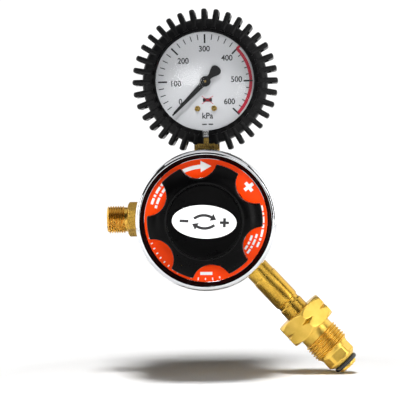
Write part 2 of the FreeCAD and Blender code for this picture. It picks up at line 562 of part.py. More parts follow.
def make_bourdon_tube():
    """Flattened C-shaped tube from the socket's block, over the top, to the tip piece."""
    outer = ring_y(TUBE_R - TUBE_RADIAL / 2, TUBE_R + TUBE_RADIAL / 2, -TUBE_AXIAL / 2, TUBE_AXIAL / 2)
    inner = ring_y(TUBE_R - TUBE_RADIAL / 2 + 0.5, TUBE_R + TUBE_RADIAL / 2 - 0.5, -TUBE_AXIAL / 2 + 0.5,
                   TUBE_AXIAL / 2 - 0.5)
    tube = cut(outer, inner)
    end = TUBE_START + TUBE_SWEEP
    gap = pie(end, TUBE_START - 360, 40, 20)
    return cut(tube, gap)


def pie(a0, a1, radius, half_depth):
    """Wedge from angle a0 down to a1, degrees from +X towards +Z."""
    points = [(0, 0)]
    steps = 6
    for k in range(steps + 1):
        a = math.radians(a0 + (a1 - a0) * k / steps)
        points.append((radius * math.cos(a), radius * math.sin(a)))
    return profile_face(points, lambda x, z: V(x, -half_depth, z)).extrude(V(0, 2 * half_depth, 0))


def make_tube_tip():
    """Cap soldered on the tube's end, with a lug that the link's pin turns in."""
    end = TUBE_START + TUBE_SWEEP
    block = ring_y(TUBE_R - 1.9, TUBE_R + 1.6, -TUBE_AXIAL / 2 - 0.4, TUBE_AXIAL / 2 + 0.4)
    block = block.common(pie(end - 0.05, end - 7.0, 40, 20))
    lug = Part.makeBox(5.0, 1.4, 3.0, V(TIP_PIN[0] - 1.2, SECTOR_FRONT - 0.2, TIP_PIN[1] - 1.5))
    strut = Part.makeBox(1.6, 4.0, 3.0, V(TIP_PIN[0] + 1.6, SECTOR_FRONT - 0.2, TIP_PIN[1] - 1.5))
    tip = fused(block, lug, strut)
    return cut(tip, rod_y(0.62, SECTOR_FRONT - 1, SECTOR_FRONT + 2, TIP_PIN[0], TIP_PIN[1]))


def plate_outline(y0, y1, with_posts):
    plate = Part.makeBox(20.0, y1 - y0, 21.5, V(-6.6, y0, -17.2))
    plate = plate.makeFillet(2.0, [e for e in plate.Edges if abs(e.Length - (y1 - y0)) < 1e-3])
    holes = [rod_y(0.85, y0 - 1, y1 + 1), rod_y(0.95, y0 - 1, y1 + 1, *SECTOR_PIVOT)]
    if with_posts:
        posts = [rod_y(1.5, DIAL_FRONT + DIAL_THICK, y0 + 0.2, x, DIAL_SCREW_Z) for x in (-DIAL_SCREW_X,
                                                                                          DIAL_SCREW_X)]
        plate = fused(plate, *posts)
        holes += [rod_y(0.7, DIAL_FRONT, DIAL_FRONT + 4, x, DIAL_SCREW_Z) for x in (-DIAL_SCREW_X,
                                                                                    DIAL_SCREW_X)]
    else:
        holes += [rod_y(0.7, y0 - 1, y1 + 1, x, MOVEMENT_SCREW_Z) for x in (-MOVEMENT_SCREW_X,
                                                                            MOVEMENT_SCREW_X)]
    return cut(plate, *holes)


PILLARS = ((11.6, 2.4), (-5.0, -1.5), (-5.0, -9.0))


def make_pillars():
    return Part.makeCompound([rod_y(1.3, -8.0, 0.0, x, z) for x, z in PILLARS])


def make_movement_screws():
    z = MOVEMENT_SCREW_Z
    return Part.makeCompound([fused(rod_y(1.4, -0.9, 0.0, x, z), rod_y(0.7, 0.0, 3.6, x, z))
                              for x in (-MOVEMENT_SCREW_X, MOVEMENT_SCREW_X)])


def make_hairspring():
    """Flat spiral of thin strip round the staff, in front of the pinion."""
    turns, r0, r1, strip, step = 4.0, 1.0, 3.6, 0.12, 30
    count = int(turns * 360 / step)

    def spiral(k, offset):
        a = math.radians(k * step)
        r = r0 + (r1 - r0) * k / count + offset
        return V(r * math.cos(a), -7.4, r * math.sin(a))

    def curve(offset):
        edge = Part.BSplineCurve()
        edge.interpolate([spiral(k, offset) for k in range(count + 1)])
        return edge.toShape()

    inner, outer = curve(0.0), curve(strip)
    caps = [Part.LineSegment(spiral(k, 0.0), spiral(k, strip)).toShape() for k in (0, count)]
    return Part.Face(Part.Wire(Part.__sortEdges__([inner, outer] + caps))).extrude(V(0, 0.5, 0))


# ---------------------------------------------------------------- boot
def make_boot():
    """Rubber boot round the gauge: front and back lips, fins all round, split at the bottom."""
    shell = turned_y([
        (BOOT_FRONT + 0.5, BOOT_LIP_R), (BOOT_FRONT + 0.15, BOOT_LIP_R + 0.4, BOOT_FRONT, BOOT_LIP_R + 0.9),
        (BOOT_FRONT + 1.0, 32.4), (BOOT_FRONT + 2.2, BOOT_R - 0.8, BOOT_FRONT + 4.0, BOOT_R),
        (BOOT_BACK - 2.0, BOOT_R), (BOOT_BACK - 0.6, BOOT_R - 0.6, BOOT_BACK, BOOT_R - 2.0),
        (BOOT_BACK, 27.0),
        (CASE_BACK + 0.1, 27.0), (CASE_BACK + 0.1, CASE_R + 0.1), (-12.4, CASE_R + 0.1),
        (-12.4, BEZEL_R + 0.05),
        (BEZEL_FRONT - 0.1, BEZEL_R + 0.05), (BEZEL_FRONT - 0.1, BOOT_LIP_R)])
    fin_shape = turned_y([
        (BOOT_FRONT + 0.15, 29.6), (BOOT_FRONT + 0.25, 31.0), (BOOT_FRONT + 2.4, 36.5),
        (BOOT_FRONT + 3.6, FIN_R - 1.2),
        (BOOT_FRONT + 3.9, FIN_R - 0.3, BOOT_FRONT + 5.0, FIN_R), (BOOT_BACK - 4.0, FIN_R),
        (BOOT_BACK - 2.6, FIN_R - 0.5, BOOT_BACK - 2.2, FIN_R - 1.6), (BOOT_BACK - 1.0, 33.0), (-10, 33.0),
        (-16.5, 33.0), (-18.4, 32.2), (BOOT_FRONT + 1.0, 29.6)])
    low = -90.0
    fins = []
    for k in range(FINS):
        angle = 360 / FINS * k
        from_low = abs((angle - low + 180) % 360 - 180)
        reach = FIN_R + 1 if from_low > 15 else BOOT_R + 0.9
        slab = Part.makeBox(reach - 20, 60, FIN_WIDTH, V(20, -30, -FIN_WIDTH / 2))
        fin = fin_shape.common(slab)
        if from_low > 15:
            fin = round_edges(fin, 0.9, lambda e: e.Length > 15 and math.hypot(e.CenterOfMass.x,
                                                                               e.CenterOfMass.z) > 39)
        fins.append(turned_to(fin, angle))
    boot = shell.multiFuse(fins)
    split = Part.makeBox(3.2, 80, 40, V(-1.6, -40, -60))
    window = Part.makeBox(15.2, 15.6, 40, V(-7.6, -7.8, -60))
    return cut(boot, split, window)


# ---------------------------------------------------------------- all the pieces
def gauge_part(shape):
    moved = shape.copy()
    moved.translate(V(0, PORTS_Y, GAUGE_Z))
    return moved


def at_inlet(shape):
    return port(shape, INLET_ANGLE)


def make_all():
    spring_front, spring_rear = TOWER_INSIDE_TOP + BUTTON_SEAT, FLANGE_FRONT - 3.6
    parts = {
        "regulator_body": make_body(),
        "valve_nozzle": make_nozzle(),
        "valve_poppet": make_poppet(),
        "valve_seat_disc": ring_y(1.2, 3.5, 0.55, 1.8),
        "valve_spring": helix_spring_y(3.1, 0.7, 6.0, REAR_BOSS_END - 7.5, 7),
        "rear_plug": make_rear_plug(),
        "rear_plug_o_ring": torus_y(5.7, 1.4, REAR_BOSS_END - 1.7),
        "diaphragm": make_diaphragm(),
        "diaphragm_slip_ring": ring_y(28.0, 34.4, -14.6, -13.6),
        "diaphragm_plate": make_diaphragm_plate(),
        "diaphragm_backing_plate": ring_y(2.5, 17.0, -12.0, -10.8),
        "diaphragm_nut": make_diaphragm_nut(),
        "adjusting_spring": helix_spring_y(12.8, 3.2, spring_front, spring_rear, 4),
        "spring_button": make_spring_button(),
        "adjusting_screw": make_adjusting_screw(),
        "screw_retaining_clip": ring_y(2.9, 7.2, TOWER_INSIDE_TOP + CLIP_GAP,
                                       TOWER_INSIDE_TOP + CLIP_GAP + CLIP_THICK),
        "bonnet": make_bonnet(),
        "face_label": ring_y(TOWER_R + TOWER_FILLET + 0.2, FACE_R - 0.3, FACE_Y - 0.3, FACE_Y),
        "knob": make_knob(),
        "knob_cap": turned_y([(KNOB_FRONT + CAP_THICK, 0), (KNOB_FRONT + CAP_THICK, CAP_R),
                              (KNOB_FRONT + 0.3, CAP_R), (KNOB_FRONT - 0.2, CAP_R - 0.5),
                              (KNOB_FRONT - 0.2, 0)]),
        "knob_label": make_knob_label(),
        "outlet_fitting": make_outlet(),
        "inlet_stem": at_inlet(make_inlet_stem()),
        "inlet_filter": at_inlet(make_filter()),
        "union_nut": at_inlet(make_union_nut()),
        "inlet_nose": at_inlet(make_nose()),
        "inlet_nose_o_ring": at_inlet(make_nose_o_ring()),
        "gauge_socket": gauge_part(make_socket()),
        "gauge_case": gauge_part(make_case()),
        "gauge_bezel": gauge_part(make_bezel()),
        "gauge_window": gauge_part(rod_y(WINDOW_R, WINDOW_FRONT, WINDOW_FRONT + WINDOW_THICK)),
        "gauge_dial": gauge_part(make_dial()),
        "gauge_dial_screws": gauge_part(make_dial_screws()),
        "gauge_pointer": gauge_part(make_pointer()),
        "gauge_pinion_shaft": gauge_part(make_pinion_shaft()),
        "gauge_sector": gauge_part(make_sector()),
        "gauge_link": gauge_part(make_link()),
        "gauge_tube_tip": gauge_part(make_tube_tip()),
        "gauge_bourdon_tube": gauge_part(make_bourdon_tube()),
        "gauge_front_plate": gauge_part(plate_outline(-9.0, -8.0, True)),
        "gauge_back_plate": gauge_part(plate_outline(0.0, 1.0, False)),
        "gauge_pillars": gauge_part(make_pillars()),
        "gauge_movement_screws": gauge_part(make_movement_screws()),
        "gauge_hairspring": gauge_part(make_hairspring()),
        "gauge_blowout_plug": gauge_part(turned_y([(9.4, 0), (9.4, 4.6), (10.0, 4.6), (10.0, 4.0),
                                                   (11.0, 4.0),
                                                   (11.0, 5.2), (12.0, 5.2), (12.0, 0)])),
        "gauge_boot": gauge_part(make_boot()),
    }
    parts["gauge_blowout_plug"].translate(V(0, 0, 17))
    return parts


def main():
    os.makedirs("parts", exist_ok=True)
    held_at = (NUT_THREAD_START + NUT_FRONT) / 2
    a = math.radians(INLET_ANGLE)
    shift = V(-held_at * math.cos(a), -PORTS_Y, -held_at * math.sin(a))
    print("adjusting axis is at x %.4f, z %.4f; parting plane y %.1f" % (shift.x, shift.z, shift.y))
    for name, shape in make_all().items():
        solid = solids_of(shape)
        solid.translate(shift)
        if not solid.isValid():
            print("NOT VALID:", name)
        solid.exportStep("parts/%s.step" % name)


main()
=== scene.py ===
"""Gas regulator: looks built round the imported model.

Pieces are made in millimetres in one of four local frames and placed by a matrix. The bonnet's and the
gauge's frames have the object's own directions, and the inlet's and outlet's have X along the port.
"""

import json
import math

import bpy
import bmesh
from mathutils import Matrix, Vector


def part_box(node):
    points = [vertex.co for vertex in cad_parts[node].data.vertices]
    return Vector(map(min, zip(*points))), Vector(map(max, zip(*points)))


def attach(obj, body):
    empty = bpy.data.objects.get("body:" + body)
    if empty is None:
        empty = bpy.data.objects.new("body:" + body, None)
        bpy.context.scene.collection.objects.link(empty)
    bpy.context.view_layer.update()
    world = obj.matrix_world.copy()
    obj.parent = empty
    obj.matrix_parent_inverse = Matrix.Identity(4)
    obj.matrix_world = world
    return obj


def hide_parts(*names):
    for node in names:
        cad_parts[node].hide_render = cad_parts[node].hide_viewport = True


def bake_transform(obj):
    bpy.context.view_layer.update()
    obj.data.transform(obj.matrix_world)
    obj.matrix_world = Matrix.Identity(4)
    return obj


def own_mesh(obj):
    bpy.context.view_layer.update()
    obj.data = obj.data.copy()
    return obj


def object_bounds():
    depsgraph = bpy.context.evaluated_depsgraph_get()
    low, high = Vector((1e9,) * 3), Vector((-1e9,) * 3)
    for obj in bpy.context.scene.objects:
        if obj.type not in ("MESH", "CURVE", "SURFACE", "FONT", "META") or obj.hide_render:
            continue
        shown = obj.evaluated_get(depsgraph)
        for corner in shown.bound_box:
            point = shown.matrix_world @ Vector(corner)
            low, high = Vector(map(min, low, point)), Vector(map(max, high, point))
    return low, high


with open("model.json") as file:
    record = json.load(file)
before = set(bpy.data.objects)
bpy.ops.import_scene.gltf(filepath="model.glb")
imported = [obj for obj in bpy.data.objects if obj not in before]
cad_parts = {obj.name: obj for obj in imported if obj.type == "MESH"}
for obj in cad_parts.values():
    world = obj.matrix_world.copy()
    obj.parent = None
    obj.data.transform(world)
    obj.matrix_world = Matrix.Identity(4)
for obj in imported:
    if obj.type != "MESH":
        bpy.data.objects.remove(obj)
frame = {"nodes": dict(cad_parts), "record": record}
cad_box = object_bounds()

# ---------------------------------------------------------------- frames
MM = 0.001


def centre(node):
    low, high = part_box(node)
    return (low + high) / 2


def placed(origin, x_axis=(1, 0, 0)):
    """Millimetre frame at origin with its X along x_axis, its Y along the object's Y."""
    x = Vector(x_axis).normalized()
    y = Vector((0, 1, 0))
    z = x.cross(y)
    turn = Matrix((x, y, z)).transposed().to_4x4()
    return Matrix.Translation(origin) @ turn @ Matrix.Scale(MM, 4)


mounts = {m["name"]: m for m in frame["record"]["mounts"]}
hub = centre("bonnet")
AXIS = Vector((hub.x, 0, hub.z))
REG = placed(AXIS)
GAUGE_CENTRE = Vector((centre("gauge_bezel").x, 0, centre("gauge_bezel").z))
GAUGE = placed(GAUGE_CENTRE)
INLET = placed(AXIS, mounts["inlet"]["axis"])
OUTLET = placed(AXIS, mounts["outlet"]["axis"])


def front_of(node):
    """A node's front face along Y, in millimetres."""
    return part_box(node)[0].y / MM


def back_of(node):
    """A node's rear face along Y, in millimetres."""
    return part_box(node)[1].y / MM


# ---------------------------------------------------------------- materials


def material(name, color, metallic=0.0, rough=0.4, **sockets):
    m = bpy.data.materials.new(name)
    m.use_nodes = True
    b = m.node_tree.nodes["Principled BSDF"]
    b.inputs["Base Color"].default_value = (*color, 1)
    b.inputs["Metallic"].default_value = metallic
    b.inputs["Roughness"].default_value = rough
    for key, value in sockets.items():
        b.inputs[key.replace("_", " ")].default_value = value
    return m, m.node_tree, b


def coords(tree, scale=(1, 1, 1), turn=0.0):
    """Object coordinates, scaled and turned about Y."""
    c = tree.nodes.new("ShaderNodeTexCoord")
    m = tree.nodes.new("ShaderNodeMapping")
    m.inputs["Scale"].default_value = scale
    m.inputs["Rotation"].default_value = (0, turn, 0)
    tree.links.new(c.outputs["Object"], m.inputs["Vector"])
    return m.outputs["Vector"]


def noise(tree, vector, scale, detail=4.0, rough=0.5):
    n = tree.nodes.new("ShaderNodeTexNoise")
    n.inputs["Scale"].default_value = scale
    n.inputs["Detail"].default_value = detail
    n.inputs["Roughness"].default_value = rough
    tree.links.new(vector, n.inputs["Vector"])
    return n.outputs["Fac"]


def mapped(tree, value, low, high, start=0.3, end=0.7):
    r = tree.nodes.new("ShaderNodeMapRange")
    r.inputs["From Min"].default_value, r.inputs["From Max"].default_value = start, end
    r.inputs["To Min"].default_value, r.inputs["To Max"].default_value = low, high
    tree.links.new(value, r.inputs["Value"])
    return r.outputs["Result"]


def tinted(tree, value, stops):
    r = tree.nodes.new("ShaderNodeValToRGB")
    ramp = r.color_ramp
    while len(ramp.elements) < len(stops):
        ramp.elements.new(0.5)
    for e, (at, color) in zip(ramp.elements, stops):
        e.position = at
        e.color = (*color, 1)
    tree.links.new(value, r.inputs["Fac"])
    return r.outputs["Color"]


def bumped(tree, shader, *layers):
    """Adds bump layers of (height output, strength, distance in metres)."""
    normal = None
    for height, strength, distance in layers:
        b = tree.nodes.new("ShaderNodeBump")
        b.inputs["Strength"].default_value = strength
        b.inputs["Distance"].default_value = distance
        tree.links.new(height, b.inputs["Height"])
        if normal is not None:
            tree.links.new(normal, b.inputs["Normal"])
        normal = b.outputs["Normal"]
    tree.links.new(normal, shader.inputs["Normal"])


def edge_wear(tree):
    """Brighter on convex edges, from the surface's pointiness."""
    g = tree.nodes.new("ShaderNodeNewGeometry")
    return mapped(tree, g.outputs["Pointiness"], 0.0, 1.0, 0.515, 0.58)


def mixed(tree, factor, a, b, kind="MIX"):
    """Mixes two colours; a and b are outputs or plain colours."""
    m = tree.nodes.new("ShaderNodeMix")
    m.data_type = "RGBA"
    m.blend_type = kind
    for socket, value in ((m.inputs[6], a), (m.inputs[7], b)):
        if isinstance(value, tuple):
            socket.default_value = (*value, 1)
        else:
            tree.links.new(value, socket)
    if isinstance(factor, float):
        m.inputs[0].default_value = factor
    else:
        tree.links.new(factor, m.inputs[0])
    return m.outputs[2]


BAND_PERIOD = 0.314               # a wave texture's bands repeat this far apart at scale 1


def turned_lines(tree, axis_scale, spacing, axis_angle):
    """Fine grooves across an axis in the XZ plane, as a lathe tool leaves them."""
    v = coords(tree, axis_scale, axis_angle)
    w = tree.nodes.new("ShaderNodeTexWave")
    w.wave_type = "BANDS"
    w.bands_direction = "X"
    w.inputs["Scale"].default_value = BAND_PERIOD / spacing
    w.inputs["Distortion"].default_value = 1.2
    w.inputs["Detail"].default_value = 3.0
    w.inputs["Detail Scale"].default_value = 0.6
    tree.links.new(v, w.inputs["Vector"])
    return w.outputs["Fac"]


def brass(name, color=(0.78, 0.48, 0.09), dark=(0.56, 0.31, 0.05), rough=(0.20, 0.31), unit=1.0, lines=None,
          turn=0.0, cast=0.0):
    """Machined or forged brass. unit is a millimetre in the piece's own units: 1, or CAD for CAD nodes."""
    m, t, b = material(name, color, 1.0, rough[0])
    v = coords(t, (1 / unit,) * 3)
    broad = noise(t, v, 0.09, 5, 0.6)
    fine = noise(t, v, 1.6, 4, 0.7)
    shade = tinted(t, broad, [(0.30, dark), (0.62, color)])
    shade = mixed(t, edge_wear(t), shade, tuple(min(1.0, c * 1.12) for c in color))
    t.links.new(shade, b.inputs["Base Color"])
    t.links.new(mapped(t, fine, rough[0], rough[1]), b.inputs["Roughness"])
    layers = [(fine, 0.010, 0.00002)]
    if lines:
        layers.append((turned_lines(t, (1 / unit,) * 3, lines, turn), 0.05, 0.00002))
    if cast:
        grit = noise(t, v, 2.4, 6, 0.8)
        layers.append((grit, cast, 0.00012))
    bumped(t, b, *layers)
    return m


def chrome(name, color=(0.72, 0.73, 0.75), rough=(0.035, 0.09)):
    m, t, b = material(name, color, 1.0, rough[0])
    v = coords(t)
    smear = noise(t, v, 0.06, 6, 0.65)
    t.links.new(mapped(t, smear, rough[0], rough[1]), b.inputs["Roughness"])
    shade = tinted(t, smear, [(0.3, tuple(c * 0.93 for c in color)), (0.7, color)])
    t.links.new(shade, b.inputs["Base Color"])
    bumped(t, b, (noise(t, v, 0.5, 3, 0.5), 0.02, 0.00002))
    return m


def steel(name, color=(0.50, 0.50, 0.49), rough=(0.2, 0.38), unit=1.0):
    m, t, b = material(name, color, 1.0, rough[0])
    v = coords(t, (1 / unit,) * 3)
    fine = noise(t, v, 1.3, 5, 0.7)
    t.links.new(mapped(t, fine, rough[0], rough[1]), b.inputs["Roughness"])
    shade = tinted(t, noise(t, v, 0.12, 4), [(0.3, tuple(c * 0.8 for c in color)), (0.7, color)])
    t.links.new(shade, b.inputs["Base Color"])
    bumped(t, b, (fine, 0.06, 0.00002))
    return m


def plastic(name, color, rough=(0.28, 0.42), unit=1.0, grain=0.12, grain_scale=3.0, dust=(0.02, 0.02, 0.02),
            **sockets):
    """Moulded plastic, rubber or print: grain, faint dust and uneven gloss."""
    m, t, b = material(name, color, 0.0, rough[0], **sockets)
    v = coords(t, (1 / unit,) * 3)
    fine = noise(t, v, grain_scale, 4, 0.6)
    broad = noise(t, v, 0.07, 5, 0.6)
    t.links.new(mapped(t, broad, rough[0], rough[1]), b.inputs["Roughness"])
    lifted = tuple(min(1.0, c + d) for c, d in zip(color, dust))
    shade = tinted(t, broad, [(0.35, color), (0.75, lifted)])
    worn = tuple(min(1.0, c * 1.25 + 0.012) for c in color)
    t.links.new(mixed(t, edge_wear(t), shade, worn), b.inputs["Base Color"])
    bumped(t, b, (fine, grain, 0.00005))
    return m


INLET_TURN = math.atan2(mounts["inlet"]["axis"][2], mounts["inlet"]["axis"][0])
# pieces made here are in millimetres (unit 1); CAD nodes are in metres (unit 0.001)
CAD = MM
M = {
    "brass_port": brass("brass_port", rough=(0.24, 0.34), lines=0.16),
    "brass_stem": brass("brass_stem", (0.68, 0.41, 0.06), (0.48, 0.27, 0.035), (0.24, 0.33)),
    "brass_nut": brass("brass_nut", (0.84, 0.56, 0.11), (0.66, 0.41, 0.06), (0.28, 0.38), lines=0.22,
                       turn=INLET_TURN),
    "brass_cad": brass("brass_cad", (0.80, 0.54, 0.15), (0.58, 0.35, 0.09), (0.2, 0.36), unit=CAD),
    "brass_cast": brass("brass_cast", (0.72, 0.47, 0.14), (0.52, 0.31, 0.09), (0.30, 0.48),
                        unit=CAD, cast=0.35),
    "bronze": brass("bronze", (0.70, 0.42, 0.16), (0.50, 0.27, 0.10), (0.3, 0.42), unit=CAD),
    "sinter": brass("sinter", (0.52, 0.33, 0.14), (0.34, 0.2, 0.08), (0.5, 0.7), unit=CAD, cast=0.8),
    "chrome": chrome("chrome"),
    "steel_cad": steel("steel_cad", unit=CAD),
    "plated_cad": steel("plated_cad", (0.60, 0.57, 0.50), (0.22, 0.36), unit=CAD),
    "alloy_cad": steel("alloy_cad", (0.70, 0.70, 0.72), (0.3, 0.45), unit=CAD),
    "rubber_cad": plastic("rubber_cad", (0.018, 0.018, 0.019), (0.5, 0.65), unit=CAD, grain=0.2),
    "bezel_cad": steel("bezel_cad", (0.66, 0.66, 0.65), (0.12, 0.22), unit=CAD),
    "dial_cad": plastic("dial_cad", (0.50, 0.51, 0.53), (0.36, 0.46), unit=CAD, grain=0.05, grain_scale=5.0,
                        dust=(0.05, 0.05, 0.05)),
    "seal": plastic("seal", (0.012, 0.012, 0.012), (0.30, 0.42), grain=0.08),
    "enamel_cad": plastic("enamel_cad", (0.016, 0.016, 0.017), (0.3, 0.42),
                          unit=CAD, grain=0.10, grain_scale=1.4),
    "boot_rubber": plastic("boot_rubber", (0.0012, 0.0012, 0.0014), (0.30, 0.44), grain=0.22, grain_scale=2.6,
                           dust=(0.002, 0.002, 0.002), Specular_IOR_Level=0.13),
    "knob_plastic": plastic("knob_plastic", (0.0007, 0.0007, 0.0008), (0.24, 0.34),
                            grain=0.08, grain_scale=3.2,
                            dust=(0.0006, 0.0006, 0.0006), Specular_IOR_Level=0.06),
    # painted dark reflection: glossy black painted on the chrome slope inside the bonnet's rim, in place of
    # the dark surroundings that the chrome reflects
    "painted_dark_reflection": plastic("painted_dark_reflection", (0.002, 0.002, 0.0025), (0.22, 0.3), grain=0.04,
                          dust=(0.001, 0.001, 0.001),
                          Specular_IOR_Level=0.05),
    "label_orange": plastic("label_orange", (1.0, 0.050, 0.0), (0.3, 0.42), grain=0.05, dust=(0, 0.012, 0.0),
                            Specular_IOR_Level=0.05),
    "label_white": plastic("label_white", (0.86, 0.86, 0.86), (0.28, 0.4), grain=0.05,
                           dust=(0.02, 0.02, 0.02)),
    "print_black": plastic("print_black", (0.006, 0.006, 0.007), (0.35, 0.5), grain=0.03,
                           dust=(0.01, 0.01, 0.01)),
    "print_white": plastic("print_white", (0.88, 0.87, 0.86), (0.35, 0.5), grain=0.03,
                           dust=(0.02, 0.02, 0.02)),
    "print_red": plastic("print_red", (0.56, 0.006, 0.035), (0.35, 0.5), grain=0.03, dust=(0.02, 0.0, 0.0)),
    "pointer_black": plastic("pointer_black", (0.004, 0.004, 0.0045), (0.35, 0.5), grain=0.05,
                             dust=(0.003, 0.003, 0.003), Specular_IOR_Level=0.3),
}


def make_glass():
    m, t, b = material("window_glass", (0.02, 0.021, 0.021), 0.0, 0.03, Alpha=0.10, Specular_IOR_Level=1.0)
    v = coords(t, (1 / CAD,) * 3)
    t.links.new(mapped(t, noise(t, v, 0.08, 4), 0.015, 0.06), b.inputs["Roughness"])
    shade = tinted(t, noise(t, v, 0.05, 3), [(0.3, (0.02, 0.021, 0.021)), (0.7, (0.03, 0.032, 0.032))])
    t.links.new(shade, b.inputs["Base Color"])
    return m


M["glass"] = make_glass()


# ---------------------------------------------------------------- mesh tools
SAME_POINT = 1e-4                  # points closer than this, in millimetres, become one
INK_LIFT = 0.004                  # how far ink that crosses other ink stands in front of it, in millimetres


def cleaned(bm):
    bmesh.ops.remove_doubles(bm, verts=bm.verts, dist=SAME_POINT)
    bmesh.ops.recalc_face_normals(bm, faces=bm.faces)
    return bm


def finished(name, bm, place, mat, body, sharp=38.0, replaces=()):
    """Turns a bmesh in a local millimetre frame into a piece that rides on a body."""
    cleaned(bm)
    mesh = bpy.data.meshes.new(name)
    bm.to_mesh(mesh)
    bm.free()
    return as_piece(name, mesh, place, mat, body, sharp, replaces)


def as_piece(name, mesh, place, mat, body, sharp=38.0, replaces=()):
    """Links a mesh in its frame. The frame's turn goes into the mesh, so the piece's own box is square."""
    mesh.transform(place.to_3x3().normalized().to_4x4())
    mesh.shade_smooth()
    if sharp:
        mesh.set_sharp_from_angle(angle=math.radians(sharp))
    mesh.materials.clear()
    mesh.materials.append(M[mat])
    piece = bpy.data.objects.new(name, mesh)
    bpy.context.scene.collection.objects.link(piece)
    piece.matrix_world = Matrix.Translation(place.translation) @ Matrix.Scale(MM, 4)
    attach(piece, body)
    if replaces:
        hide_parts(*replaces)
    return piece


def grid(bm, rows, close_rows=False, close_columns=True):
    """Faces between rows of points."""
    made = [[bm.verts.new(p) for p in row] for row in rows]
    count = len(rows[0])
    row_pairs = list(zip(made, made[1:]))
    if close_rows:
        row_pairs.append((made[-1], made[0]))
    for low, high in row_pairs:
        for k in range(count if close_columns else count - 1):
            n = (k + 1) % count
            bm.faces.new((low[k], low[n], high[n], high[k]))
    return bm


def softened(points, radius, closed=False, steps=3):
    """Rounds the corners of an outline of (along, out) points."""
    count = len(points)
    out = []
    for i, p in enumerate(points):
        if not closed and i in (0, count - 1):
            out.append(p)
            continue
        before, after = Vector(points[i - 1]), Vector(points[(i + 1) % count])
        here = Vector(p)
        a, b = before - here, after - here
        if a.length < 1e-6 or b.length < 1e-6 or abs(a.normalized().dot(b.normalized())) > 0.985:
            out.append(p)
            continue
        reach = min(radius, a.length * 0.42, b.length * 0.42)
        start, end = here + a.normalized() * reach, here + b.normalized() * reach
        for k in range(steps + 1):
            f = k / steps
            q = start * (1 - f) ** 2 + here * 2 * f * (1 - f) + end * f ** 2
            out.append((q.x, q.y))
    return out


def ring_points(axis, along, out, angles):
    if axis == "X":
        return [Vector((along, out * math.cos(t), out * math.sin(t))) for t in angles]
    if axis == "Z":
        return [Vector((out * math.cos(t), out * math.sin(t), along)) for t in angles]
    return [Vector((out * math.cos(t), along, out * math.sin(t))) for t in angles]


def circle(count, start=0.0):
    return [start + 2 * math.pi * k / count for k in range(count)]


def lathe(bm, axis, outline, count=144, soft=0.15, closed=False, shape=None):
    """Revolves an outline of (along, out). shape(along, out, angle) can change a point's out."""
    angles = circle(count)
    rows = []
    for along, out in (softened(outline, soft, closed) if soft else outline):
        if shape:
            pts = [ring_points(axis, along, shape(along, out, t), [t])[0] for t in angles]
        else:
            pts = ring_points(axis, along, out, angles)
        rows.append(pts)
    return grid(bm, rows, close_rows=closed)


def thread(bm, start, end, crest, pitch, depth, hand=-1, count=96, lead_in=0.9):
    """Helical 60 degree thread about X between start and end, with chamfered ends."""
    steps = ((0.0, crest), (0.16, crest), (0.5, crest - depth), (0.66, crest - depth))
    rows = []
    turns = int((end - start) / pitch) + 3
    for k in range(-2, turns):
        for part, radius in steps:
            row = []
            for j in range(count + 1):
                t = 2 * math.pi * j / count
                x = start + (k + part + j / count) * pitch
                r = radius
                if x <= start or x >= end:
                    r = crest - depth
                    x = min(max(x, start), end)
                at_end = crest - max(0.0, lead_in - (end - x))
                at_start = crest - max(0.0, 0.5 - (x - start))
                r = min(r, at_end, at_start)
                row.append(Vector((x, r * math.cos(hand * t), r * math.sin(hand * t))))
            rows.append(row)
    return grid(bm, rows, close_columns=False)


def ribbon(bm, y, inner, outer, start, end, steps=None, middle=(0, 0)):
    """Flat ring segment facing -Y between two angles in degrees, about a middle point."""
    steps = steps or max(1, int(abs(end - start) / 3))
    angles = [math.radians(start + (end - start) * k / steps) for k in range(steps + 1)]
    shift = Vector((middle[0], 0, middle[1]))
    rows = [[p + shift for p in ring_points("Y", y, r, angles)] for r in (inner, outer)]
    return grid(bm, rows, close_columns=False)


def polygon(bm, y, points):
    bm.faces.new([bm.verts.new((x, y, z)) for x, z in points])
    return bm


def bar(bm, y, a, b, width_a, width_b=None):
    """Flat bar facing -Y from a to b."""
    width_b = width_a if width_b is None else width_b
    a, b = Vector(a), Vector(b)
    side = Vector((-(b - a).y, (b - a).x)).normalized()
    return polygon(bm, y, [tuple(a + side * width_a / 2), tuple(b + side * width_b / 2),
                           tuple(b - side * width_b / 2), tuple(a - side * width_a / 2)])


def facing_front(bm):
    for f in bm.faces:
        f.normal_update()
        if f.normal.y > 0:
            f.normal_flip()


def print_piece(name, bm, place, mat, body):
    """Ink: a flat mesh that faces the front."""
    facing_front(bm)
    mesh = bpy.data.meshes.new(name)
    bm.to_mesh(mesh)
    bm.free()
    return as_piece(name, mesh, place, mat, body, sharp=0)


# a capital's share of the font's size, how far letters are squeezed, and how much they are thickened
CAP_HEIGHT, LETTER_WIDTH, LETTER_WEIGHT = 0.70, 0.95, 0.09


def lettered(bm, text, at, height, y):
    """Adds plain characters, such as a dial's numbers, facing the front."""
    curve = bpy.data.curves.new("t", "FONT")
    curve.body = text
    curve.align_x, curve.align_y = "CENTER", "CENTER"
    curve.size = height / CAP_HEIGHT
    curve.offset = LETTER_WEIGHT
    curve.resolution_u = 6
    made = bpy.data.objects.new("t", curve)
    mesh = bpy.data.meshes.new_from_object(made)
    low = min(v.co.y for v in mesh.vertices)
    high = max(v.co.y for v in mesh.vertices)
    middle = (low + high) / 2
    new = [bm.verts.new((at[0] + v.co.x * LETTER_WIDTH, y, at[1] + v.co.y - middle)) for v in mesh.vertices]
    for p in mesh.polygons:
        bm.faces.new([new[i] for i in p.vertices])
    bpy.data.objects.remove(made)
    bpy.data.curves.remove(curve)
    bpy.data.meshes.remove(mesh)
    return bm


def polar(r, degrees):
    return r * math.cos(math.radians(degrees)), r * math.sin(math.radians(degrees))


# ---------------------------------------------------------------- bonnet and its label
REAR = back_of("bonnet")          # the bonnet's rear edge; the y of what follows is counted from it


def shifted(points):
    return [(a + REAR, r) for a, r in points]


